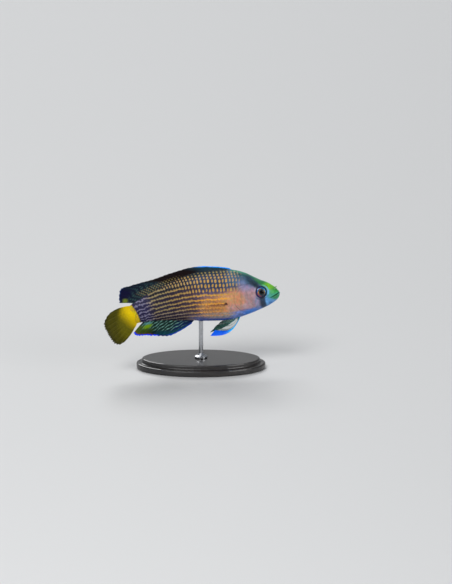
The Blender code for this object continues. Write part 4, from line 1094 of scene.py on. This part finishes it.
for side, word in SIDES:
    turn = turn_at(EYE_SHARE, EYE_Z * LENGTH)
    outward = loft_normals(np.array(EYE_SHARE), turn) * (1, side, 1)
    centre = body_points(EYE_SHARE, turn) * (1, side, 1) - outward * EYE_SINK * mm
    ball = turned_points(lens, EYE_SIDES)
    up = ball[..., 1] * -side
    front = ball[..., 2] > 0
    from_pupil = np.hypot(ball[..., 0] - PUPIL_AT[0], up - PUPIL_AT[1])
    ball[..., 2] += PUPIL_BULGE * front * fall(from_pupil, PUPIL_RADIUS - 0.25, PUPIL_RADIUS + 0.1)
    iris = np.stack([ball[..., 0], up, np.hypot(ball[..., 0], up)], axis=-1)
    notes = {"ground": iris_paint(iris[..., 0], iris[..., 1]), "iris": iris}
    faces = net_faces(EYE_STEPS, EYE_SIDES, True).tolist()
    ball = moved(ball * mm, aimed(centre, outward, (1, 0, 0)))
    eye = new_piece("glass_eye" + word, posed(ball), faces, notes, eye_glass)
    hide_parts("eye" + word)

# Fins of the midline: thin skin on slender bony rays, cast in clear resin and tinted. The dorsal
# fin stands on a low sheath along the back. Its rays lean to the tail, branch towards the margin
# and lengthen into a soft rear lobe with a bright blue hem along the front half.
SPINES = 3
MEDIAN_ROWS = 46
COLUMNS_PER_RAY = 8
ROOT_HALF = 0.50
MEMBRANE_HALF = 0.16
MARGIN_HALF = 0.09
RAY_HALF = 0.15
RAY_TAPER = 0.65
RAY_NOTCH = 0.035
RAYS_VARY = 0.03
SEE_THROUGH_MARGIN = 0.05
FIN_WAVES = (1.3, 0.1)
FIN_GRAIN_PER_MM = 2.4
RAY_JOINTS_PHASE = 150.0
FIN_SINK = 0.5
PUCKER = 0.10
FORKS = ((0.17, 0.38, 1.05), (0.075, 0.68, 1.15))
RAY_BREADTH = 0.085
DORSAL_RAYS = 29
DORSAL_SHARES = (0.00, 0.06, 0.20, 0.45, 0.60, 0.74, 0.88, 1.00)
DORSAL_LENGTHS = (0.016, 0.034, 0.070, 0.116, 0.147, 0.175, 0.178, 0.105)
DORSAL_LEANS = (30, 27, 26, 29, 36, 45, 51, 40)
DORSAL_WAVE = 0.8 * mm


def ray_ridge(position, height, spines=0):
    """1 on a ray and falling off beside it, each soft ray forking twice on its way to the margin."""
    nearest = np.round(position)
    beside = np.abs(position - nearest)
    for width, start, end in FORKS:
        beside = np.abs(beside - width * ease(height, start, end) * (nearest >= spines))
    return bump_at(beside, RAY_BREADTH)


def hollow(position):
    """1 midway between two rays and 0 on them."""
    return (1 - np.cos(2 * math.pi * position)) / 2


def pucker(position):
    """The skin's pucker: out between one pair of rays and in between the next, in metres."""
    return PUCKER * mm * hollow(position) * np.cos(math.pi * np.floor(position))


def margin(position, rays, varied, chance):
    """A factor on the rays' length that varies each of them and notches the margin between."""
    lengths = 1 + varied * (chance.random(rays) - 0.5)
    return np.interp(position, np.arange(rays), lengths) * (1 - RAY_NOTCH * hollow(position))


def fin_sheet(name, centres, half, notes, material, inner, side):
    """A thin closed fin on a net of centre points. Its two faces share the notes, but for the
    ground colour of the face that looks to the fish's middle from its side, if inner gives one."""
    across = np.gradient(centres, axis=0)
    along = np.gradient(centres, axis=1)
    normals = np.cross(across, along)
    normals /= np.linalg.norm(normals, axis=-1, keepdims=True)
    sheets = np.stack([centres + normals * half[..., None], centres - normals * half[..., None]])
    front = net_faces(*half.shape, False)
    rim = rim_of(np.arange(half.size).reshape(half.shape).T)
    walls = [[b, a, a + half.size, b + half.size] for a, b in zip(rim, rim[1:] + rim[:1])]
    faces = front.tolist() + (front[:, ::-1] + half.size).tolist() + walls
    both = {note: np.stack([values, values]) for note, values in notes.items()}
    if inner is not None:
        looks_out = (normals[..., 1] * side).mean() > 0
        both["ground"][1 if looks_out else 0] = inner
    return new_piece(name, posed(sheets), faces, both, material)


def fin_half(height, ridge):
    """Half the fin's thickness: a thick root, a thin membrane and margin, and rays that taper."""
    fade = ease(height, 0.0, 0.30)
    membrane = ROOT_HALF * (1 - fade) + MEMBRANE_HALF * fade
    thin = ease(height, 0.7, 1.0)
    membrane = membrane * (1 - thin) + MARGIN_HALF * thin
    return (membrane + RAY_HALF * ridge * (1 - RAY_TAPER * np.clip(height, 0, 1))) * mm


def add_fin(name, word, net, ground, solid, material, half=None, inner=None, side=0):
    """Dresses the solid fin of a name and side word. The net holds the fin's centre points, the
    rays' ridges and the way up to the margin."""
    centres, ridge, v = net
    notes = {
        "ground": ground,
        "place": side_place(centres),
        "rays": np.stack([ridge, v + 0 * ridge, solid + 0 * ridge], axis=-1),
    }
    half = fin_half(v, ridge) if half is None else half
    fin = fin_sheet(name + "_rayed" + word, centres, half, notes, material, inner, side)
    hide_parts(name + word)


def median_fin(base, rays, shares, lengths, leans, wave, up, chance):
    """The net of the dorsal fin (up is 1) or anal fin (up is -1), the way along it and the
    distance to its margin."""
    u = np.linspace(0, 1, COLUMNS_PER_RAY * (rays - 1) + 1)[:, None]
    position = u * (rays - 1)
    length = LENGTH * smooth_curve(u, shares, lengths)
    length = length * margin(position, rays, RAYS_VARY, chance)
    v = np.linspace(0, 1, MEDIAN_ROWS)[None, :]
    v = np.concatenate([-FIN_SINK * mm / length, v + 0 * u], axis=1)
    lean = np.radians(smooth_curve(u, shares, leans))
    share = base[0] + (base[1] - base[0]) * u
    root_z = up * body_size(share)[0 if up > 0 else 1]
    slope = np.arctan(np.gradient(root_z[:, 0], share[:, 0] * LENGTH))[:, None]
    back = length * np.cos(lean) * v
    rise = up * length * np.sin(lean) * v
    x = -share * LENGTH - back * np.cos(slope) + rise * np.sin(slope)
    z = root_z + back * np.sin(slope) + rise * np.cos(slope)
    y = wave * np.sin(2 * math.pi * (FIN_WAVES[0] * u + FIN_WAVES[1])) * v * np.abs(v)
    y = y + pucker(position) * ease(v, 0.15, 0.7)
    net = np.stack([x, y, z], axis=-1), ray_ridge(position, v, SPINES), v
    return net, u + 0 * v, (1 - v) * length / mm


def fin_material(name, glow, clear, rough):
    """Tinted clear resin over rays: lighter rays, fine grain, and see-through where thin."""
    material, tree, shader = new_material(name)
    ground, rays, place = [
        node(tree, "Attribute", out="Vector", attribute_name=note)
        for note in ("ground", "rays", "place")
    ]
    ray, height, solid = node(tree, "SeparateXYZ", {0: rays}).node.outputs
    grain = node(tree, "TexNoise", {"Vector": place, "Scale": FIN_GRAIN_PER_MM, "Detail": 4.0})
    joints = node(tree, "Math", {0: height, 1: RAY_JOINTS_PHASE}, operation="MULTIPLY")
    joints = node(tree, "Math", {0: joints}, operation="SINE")
    joints = node(tree, "Math", {0: joints, 1: ray}, operation="MULTIPLY")
    grained = {0: grain, "From Min": 0.25, "From Max": 0.75, "To Min": 0.72, "To Max": 1.28}
    shade = node(tree, "MapRange", grained)
    lit = node(tree, "Math", {0: ray, 1: glow, 2: shade}, operation="MULTIPLY_ADD")
    relief = node(tree, "Math", {0: joints, 1: 0.3, 2: grain}, operation="MULTIPLY_ADD")
    on_ray = {0: ray, 1: 1 - clear, 2: solid}
    join(shader, {
        "Base Color": node(tree, "VectorMath", {0: ground, "Scale": lit}, operation="SCALE"),
        "Normal": node(tree, "Bump", {"Height": relief, "Strength": 0.35, "Distance": 0.00005}),
        "Alpha": node(tree, "Math", on_ray, operation="MULTIPLY_ADD", use_clamp=True),
        "Roughness": rough,
        "IOR": 1.20,
        "Coat Weight": 0.04,
        "Coat Roughness": 0.20,
    })
    return material


chance = np.random.default_rng(11)
rays = (DORSAL_RAYS, DORSAL_SHARES, DORSAL_LENGTHS, DORSAL_LEANS)
net, u, from_margin = median_fin(DORSAL_BASE, *rays, DORSAL_WAVE, 1, chance)
back, _, z = np.moveaxis(side_place(net[0]), -1, 0)
v = net[2]
# the ground: grey teal, with a near-black reddish band over the middle that is painted shadow, and
# dark navy behind
ground = with_coats(
    linear("#1a3440"),
    ("#120709", span(u, 0.22, 0.36, 0.58, 0.70)),
    ("#0a1828", ease(u, 0.60, 0.72)),
)
# short slanting teal strokes on the rear lobe
strokes = np.cos(2 * math.pi * (z * 0.80 + back * 0.42) / 1.2 + 0.8 * np.sin(back * 0.9))
broken = np.sin(back * 2.1 - z * 1.3 + 1.5 * np.sin(z * 1.1))
strokes = ease(strokes, 0.1, 0.9) * ease(broken, -0.5, 0.3)
ground = lay(ground, "#45706c", 0.62 * strokes * ease(u, 0.58, 0.74) * fall(v, 0.50, 0.85))
# rows of ochre dots along the base, then the dark rear lobe and its olive corner
rows = np.cos(2 * math.pi * (z - 8.4 + 0.10 * back) / 2.0) * np.cos(2 * math.pi * back / 1.7)
on_base = span(u, 0.42, 0.58, 0.84, 0.92) * fall(v, 0.22, 0.42)
ground = with_coats(
    ground,
    ("#84764a", 0.9 * ease(rows, 0.05, 0.55) * on_base),
    ("#04052e", ease(u, 0.80, 0.90) * ease(v, 0.34, 0.64)),
    ("#6c7c22", patch(u, v, (0.982, 0.64), (0.025, 0.16), 0.6)),
)
# the hem: bright blue in front, dull behind
hem = fall(from_margin, 1.05, 1.45) * fall(u, 0.19, 0.27)
ground = with_coats(
    ground,
    ("#16407c", 0.7 * fall(from_margin, 0.25, 0.60) * ease(u, 0.70, 0.85)),
    ("#0090ff", hem),
)
dorsal_skin = fin_material("tinted fin skin, dark blue", 0.35, 0.80, 0.38)
add_fin("dorsal_fin", "", net, ground, 1 - SEE_THROUGH_MARGIN * ease(v, 0.9, 1.0), dorsal_skin)

# Anal fin: the same skin and rays below the tail's half, crossed by slanting light lines, with a
# lime patch at its rear base and a thin blue hem.
ANAL_RAYS = 17
ANAL_SHARES = (0.00, 0.10, 0.25, 0.45, 0.70, 0.90, 1.00)
ANAL_LENGTHS = (0.030, 0.083, 0.132, 0.153, 0.156, 0.143, 0.112)
ANAL_LEANS = (55, 52, 49, 44, 37, 33, 31)
ANAL_WAVE = -0.7 * mm
ANAL_LINE_SPACING = 1.65
ANAL_LINE_ANGLE = math.radians(17)
rays = (ANAL_RAYS, ANAL_SHARES, ANAL_LENGTHS, ANAL_LEANS)
net, u, from_margin = median_fin(ANAL_BASE, *rays, ANAL_WAVE, -1, chance)
back, _, z = np.moveaxis(side_place(net[0]), -1, 0)
v = net[2]
# the slanting lines waver a little and break off
across = (z * math.cos(ANAL_LINE_ANGLE) + back * math.sin(ANAL_LINE_ANGLE)) / ANAL_LINE_SPACING
lines = np.cos(2 * math.pi * across + 0.9 * np.sin(back * 1.1 + z * 0.6))
broken = ease(np.sin(back * 1.9 + 1.2 * np.sin(z * 2.3)), -1.0, -0.6)
ground = with_coats(
    linear("#061c46"),
    ("#0e2824", ease(u, 0.20, 0.40)),
    ("#6c9c90", 0.9 * ease(lines, 0.3, 0.9) * broken * fall(v, 0.55, 0.80) * ease(u, 0.02, 0.30)),
    ("#0a3a44", ease(v, 0.58, 0.78) * fall(u, 0.42, 0.60)),
    ("#34480a", ease(u, 0.56, 0.72) * ease(v, 0.42, 0.66)),
    ("#44580c", 0.9 * ease(u, 0.86, 0.92) * ease(v, 0.25, 0.45)),
    ("#6e9410", patch(u, v, (0.81, 0.39), (0.075, 0.17), 0.5)),
    ("#5c9898", 0.9 * patch(u, v, (0.875, 0.16), (0.07, 0.10), 0.6)),
    ("#0f3c9c", fall(from_margin, 1.1, 1.8) * fall(u, 0.26, 0.36)),
    ("#0c1c5c", fall(from_margin, 0.6, 1.1) * ease(u, 0.28, 0.36)),
    ("#6a3418", bump_at(from_margin - 1.55, 0.30) * ease(u, 0.48, 0.60)),
    ("#003cff", fall(from_margin, 0.85, 1.20) * ease(u, 0.40, 0.52)),
)
anal_skin = fin_material("tinted fin skin, lined green", 0.30, 0.80, 0.38)
add_fin("anal_fin", "", net, ground, 1 - SEE_THROUGH_MARGIN * ease(v, 0.9, 1.0), anal_skin)

# Tail fin: a rounded fan of branched rays that carries on the tail's end. It is bright yellow,
# dusted with olive towards the margin, and opaque but for the thin hem.
CAUDAL_RAYS = 17
CAUDAL_ROWS = 60
CAUDAL_COLUMNS_PER_RAY = 12
CAUDAL_LENGTH = 20.8 * mm
CAUDAL_CORNER_LOSS = 7.2 * mm
CAUDAL_CORNER_POWER = 5
CAUDAL_SPREAD = math.radians(19)
CAUDAL_SPREAD_POWER = 1.6
CAUDAL_BULGE = 1.0 * mm
CAUDAL_ROOT_SHARE = 0.30
CAUDAL_CURL = (0.9 * mm, 2.4)
CAUDAL_ROOT_POWER = math.sqrt(BACK_KEENNESS[1])
CAUDAL_ROOT_FILLS = 0.95
CAUDAL_RAYS_VARY = 0.025
CAUDAL_SEE_THROUGH_MARGIN = 0.10
CAUDAL_SINK = 0.03
w = np.linspace(1, -1, CAUDAL_COLUMNS_PER_RAY * (CAUDAL_RAYS - 1) + 1)[:, None]
v = np.concatenate([[-CAUDAL_SINK], np.linspace(0, 1, CAUDAL_ROWS) ** 1.2])[None, :]
position = (1 - w) / 2 * (CAUDAL_RAYS - 1)
back, belly, half_width = body_size(1.0)
root_z = (back - belly) / 2 + (back + belly) / 2 * w
length = CAUDAL_LENGTH - CAUDAL_CORNER_LOSS * np.abs(w) ** CAUDAL_CORNER_POWER
length = length * margin(position, CAUDAL_RAYS, CAUDAL_RAYS_VARY, chance)
angle = CAUDAL_SPREAD * np.sign(w) * np.abs(w) ** CAUDAL_SPREAD_POWER
x = -LENGTH - length * np.cos(angle) * v
z = root_z + length * np.sin(angle) * v + CAUDAL_BULGE * w * np.abs(w) * np.sin(math.pi * v)
y = CAUDAL_CURL[0] * np.sin(CAUDAL_CURL[1] * w) * v * np.abs(v)
y = y + pucker(position) * ease(v, 0.3, 0.8)
ridge = ray_ridge(position, v)
net = np.stack([x, y, z + 0 * v], axis=-1), ridge, v
root_half = CAUDAL_ROOT_FILLS * half_width * (1 - w * w) ** CAUDAL_ROOT_POWER
half = fin_half(v, ridge) * ease(v, -0.15, 0.10)
half = np.maximum(half, root_half * fall(v, 0.0, CAUDAL_ROOT_SHARE) ** 1.2)
speckle = np.sin(position * 4.1 + 9 * v) * np.sin(v * 61 + 2.0 * np.sin(position * 1.7))
ground = with_coats(
    linear("#ecca00"),
    ("#6a6402", ease(v + 0.14 * (1 - w), 0.18, 0.62)),
    ("#4c4802", ease(v + 0.12 * w, 0.42, 0.74)),
    ("#343204", 0.85 * ease(v, 0.82, 1.0)),
    ("#3a3806", 0.40 * ease(speckle, 0.1, 0.8) * ease(v, 0.1, 0.4)),
)
caudal_skin = fin_material("tinted fin skin, yellow", 0.05, 0.85, 0.50)
solid = 1 - CAUDAL_SEE_THROUGH_MARGIN * ease(v, 0.8, 1.0)
add_fin("caudal_fin", "", net, ground, solid, caudal_skin, half)

# Pectoral fins: fans of hair-thin rays on a fleshy lobe behind each gill cover, held a little off
# the body. Their skin is clear, with an orange tint that thickens to the rays and a dark spot at
# the top of the base.
PECTORAL_TOP = (0.333, -0.044)
PECTORAL_BOTTOM = (0.345, -0.096)
PECTORAL_RAYS = 17
PECTORAL_ROWS = 48
PECTORAL_LENGTH = 18.0 * mm
PECTORAL_SHORTER = 6.0 * mm
PECTORAL_LONGEST = 0.75
PECTORAL_UP = math.radians(9)
PECTORAL_DOWN = math.radians(-22)
PECTORAL_SPLAY = math.radians(13)
PECTORAL_SINK = 1.2 * mm
PECTORAL_INSET = 0.72 * mm
PECTORAL_CUP = 1.2 * mm
PECTORAL_LOBE_SOLID = 0.75
PECTORAL_SPOT_SOLID = 0.7
PECTORAL_CLEAR_SOLID = 0.03


def paired_fan(rays, columns_per_ray, rows):
    """Places across a fan of rays and up to its margin, the ray's number at each, the skin's
    pucker and the factor on the length that notches the margin."""
    w = np.linspace(0, 1, columns_per_ray * (rays - 1) + 1)[:, None]
    v = np.linspace(0, 1, rows)[None, :]
    position = w * (rays - 1)
    wavy = PUCKER * mm * np.cos(2 * math.pi * position) * ease(v, 0.2, 0.7)
    return w, v, position, wavy, 1 - RAY_NOTCH * hollow(position)


pectoral_skin = fin_material("clear fin skin, orange", 0.25, 0.90, 0.36)
w, v, position, wavy, notches = paired_fan(PECTORAL_RAYS, COLUMNS_PER_RAY, PECTORAL_ROWS)
length = PECTORAL_LENGTH - PECTORAL_SHORTER * (2 * w - PECTORAL_LONGEST) ** 2
length = length * notches + PECTORAL_SINK
angle = PECTORAL_UP + (PECTORAL_DOWN - PECTORAL_UP) * w
share = PECTORAL_TOP[0] + (PECTORAL_BOTTOM[0] - PECTORAL_TOP[0]) * w
root_z = LENGTH * (PECTORAL_TOP[1] + (PECTORAL_BOTTOM[1] - PECTORAL_TOP[1]) * w)
root_y = body_points(share, turn_at(share, root_z))[..., 1] - PECTORAL_INSET
x = -share * LENGTH + PECTORAL_SINK - length * v * np.cos(angle)
y = root_y + length * v * math.sin(PECTORAL_SPLAY) - PECTORAL_CUP * v * v + wavy
z = root_z + length * v * np.sin(angle)
spot = patch(w, v, (0.10, 0.16), (0.13, 0.055), 0.5)
ground = with_coats(linear("#c98f4e"), ("#d6a873", ease(v, 0.4, 0.9)), ("#4a2430", spot))
solid = np.maximum(PECTORAL_LOBE_SOLID * fall(v, 0.05, 0.13), PECTORAL_SPOT_SOLID * spot)
solid = PECTORAL_CLEAR_SOLID + solid
for side, word in SIDES:
    net = np.stack([x, side * y, z], axis=-1), ray_ridge(position, v), v
    add_fin("pectoral_fin", word, net, ground, solid, pectoral_skin)

# Pelvic fins: one spine and five rays under the throat. The leading edge is bowed and bright, cyan
# at the root and blue to the tip, and the skin behind it is a clear green grey.
PELVIC_SHARE = 0.253
PELVIC_RAYS = 6
PELVIC_ROWS = 60
PELVIC_COLUMNS_PER_RAY = 14
PELVIC_LENGTH = 20.7 * mm
PELVIC_INNER_LENGTH = 6.4 * mm
PELVIC_TAPER = 2.0
PELVIC_BAND = (0.10, 0.14)
PELVIC_LEAD_DOWN = math.radians(32)
PELVIC_INNER_DOWN = math.radians(12)
PELVIC_SPLAY = {1: math.tan(math.radians(1)), -1: math.tan(math.radians(15))}
PELVIC_BOW = {1: 1.9 * mm, -1: 4.5 * mm}
PELVIC_SINK = 1.2 * mm
PELVIC_ROOT_WIDTH = 2.2 * mm
PELVIC_FOLD = 0.6 * mm
PELVIC_WEB_SOLID = {1: 0.62, -1: 0.16}
PELVIC_BAND_SOLID = 0.84
pelvic_skin = fin_material("tinted fin skin, bright blue", 0.30, 0.60, 0.36)
w, v, position, wavy, notches = paired_fan(PELVIC_RAYS, PELVIC_COLUMNS_PER_RAY, PELVIC_ROWS)
length = PELVIC_INNER_LENGTH + (PELVIC_LENGTH - PELVIC_INNER_LENGTH) * (1 - w) ** PELVIC_TAPER
length = length * notches + PELVIC_SINK
angle = PELVIC_LEAD_DOWN + (PELVIC_INNER_DOWN - PELVIC_LEAD_DOWN) * w
root_x = -PELVIC_SHARE * LENGTH - PELVIC_ROOT_WIDTH * w
belly = body_size(-root_x / LENGTH)[1]
band = PELVIC_BAND[0] + (PELVIC_BAND[1] - PELVIC_BAND[0]) * ease(v, 0.2, 0.9)
bright = fall(w, band, band + 0.06)
web = lay(linear("#2c5048"), "#5c8c7c", 0.8 * ease(w, 0.25, 0.60) * fall(v, 0.55, 0.90))
outer = with_coats(web, ("#005cec", bright), ("#08b4f4", bright * fall(v, 0.35, 0.70)))
inner = lay(web, "#3c94c8", 0.8 * bright * fall(v, 0.30, 0.55))
for side, word in SIDES:
    bow = PELVIC_BOW[side] * np.sin(math.pi * v) * (1 - w)
    down = length * v * np.sin(angle) + bow * np.cos(angle)
    x = root_x - length * v * np.cos(angle) + bow * np.sin(angle)
    y = PELVIC_ROOT[1] * mm + down * PELVIC_SPLAY[side] - PELVIC_FOLD * w * v + wavy
    z = -belly + PELVIC_SINK - down
    solid = PELVIC_WEB_SOLID[side] + PELVIC_BAND_SOLID * np.maximum(bright, fall(v, 0.05, 0.2))
    solid = np.minimum(solid, 1)
    net = np.stack([x, side * y, z], axis=-1), ray_ridge(position, v, 1), v
    add_fin("pelvic_fin", word, net, outer, solid, pelvic_skin, inner=inner, side=side)

# Stand: an oval foot of ebonised hardwood under clear lacquer, and a turned steel rod with a
# collar, which screws down into the foot and holds the cast under its belly.
LONG_GRAIN_PER_METRE = (60.0, 900.0, 900.0)
FIGURE_PER_METRE = (12.0, 90.0, 90.0)
TURNING_PER_METRE = (300.0, 300.0, 9000.0)
lacquer, tree, shader = new_material("lacquered black hardwood")
place = node(tree, "TexCoord", out="Object")
long_grain = node(tree, "VectorMath", {0: place, 1: LONG_GRAIN_PER_METRE}, operation="MULTIPLY")
fibre = {"Vector": long_grain, "Scale": 1.0, "Detail": 6.0, "Distortion": 0.4}
fibre = node(tree, "TexNoise", fibre)
figure = node(tree, "VectorMath", {0: place, 1: FIGURE_PER_METRE}, operation="MULTIPLY")
figure = node(tree, "TexNoise", {"Vector": figure, "Scale": 1.0, "Detail": 2.0})
both = node(tree, "Math", {0: fibre, 1: figure}, operation="MULTIPLY")
stained = node(tree, "ValToRGB", {0: both})
fill_ramp(stained, (0.16, "#0d0c0d"), (0.42, "#2a2422"))
join(shader, {
    "Base Color": stained,
    "Normal": node(tree, "Bump", {"Height": fibre, "Strength": 0.12, "Distance": 0.0001}),
    "Roughness": node(tree, "MapRange", {0: fibre, "To Min": 0.30, "To Max": 0.42}),
    "Coat Weight": 0.6,
    "Coat Roughness": 0.08,
})
steel, tree, shader = new_material("turned steel")
place = node(tree, "TexCoord", out="Object")
marks = node(tree, "VectorMath", {0: place, 1: TURNING_PER_METRE}, operation="MULTIPLY")
turning = node(tree, "TexNoise", {"Vector": marks, "Scale": 1.0, "Detail": 3.0})
join(shader, {
    "Base Color": (*linear("#bcbec2"), 1),
    "Roughness": node(tree, "MapRange", {0: turning, "To Min": 0.20, "To Max": 0.36}),
    "Normal": node(tree, "Bump", {"Height": turning, "Strength": 0.15, "Distance": 0.00004}),
    "Metallic": 1.0,
})
for name, finish in (("stand_base", lacquer), ("stand_rod", steel)):
    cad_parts[name].data.materials.clear()
    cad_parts[name].data.materials.append(finish)

# Studio: a round sheet of pale paper, curved up far behind, under one large soft light from above
# the camera's left, a weaker one from the right and one behind that draws the fins' edges.
FLOOR_RADIUS = 8.0
SWEEP_RADIUS = 1.5
WALL_HEIGHT = 4.0
FLOOR_SIDES = 96
FLOOR_DROP = 0.0002
profile = [(1.0, 0.0), (FLOOR_RADIUS, 0.0)]
for angle in np.radians(np.linspace(0, 90, 9))[1:]:
    out = FLOOR_RADIUS + SWEEP_RADIUS * math.sin(angle)
    profile.append((out, SWEEP_RADIUS * (1 - math.cos(angle))))
profile.append((FLOOR_RADIUS + SWEEP_RADIUS, WALL_HEIGHT))
sheet = turned_points(profile, FLOOR_SIDES)
faces = net_faces(len(profile), FLOOR_SIDES, True)[:, ::-1].tolist() + [list(range(FLOOR_SIDES))]
floor_data = bpy.data.meshes.new("floor")
floor_data.from_pydata(sheet.reshape(-1, 3).tolist(), [], faces)
floor_data.shade_smooth()
floor = bpy.data.objects.new("floor", floor_data)
bpy.context.scene.collection.objects.link(floor)
floor.location.z = -FLOOR_DROP
paper, tree, shader = new_material("pale paper")
join(shader, {"Base Color": (*linear("#cfcfcf"), 1)})
floor_data.materials.append(paper)

world = bpy.data.worlds.new("studio")
bpy.context.scene.world = world
world.use_nodes = True
join(world.node_tree.nodes["Background"], {"Color": (*linear("#e7edf3"), 1), "Strength": 0.35})
LIGHTS = (
    ("key", (-0.9, -1.9, 2.0), 1.1, 48.0),
    ("fill", (1.9, -1.5, 0.9), 1.3, 14.0),
    ("rim", (-0.4, 1.6, 1.6), 1.3, 24.0),
)
for name, place, width, watts in LIGHTS:
    lamp = bpy.data.lights.new(name, "AREA")
    lamp.size = width
    lamp.energy = watts
    light = bpy.data.objects.new(name, lamp)
    bpy.context.scene.collection.objects.link(light)
    light.location = place
    aim = Vector((0, 0, AXIS_HEIGHT)) - light.location
    light.rotation_euler = aim.to_track_quat("-Z", "Y").to_euler()
bpy.context.scene.view_settings.view_transform = "Standard"
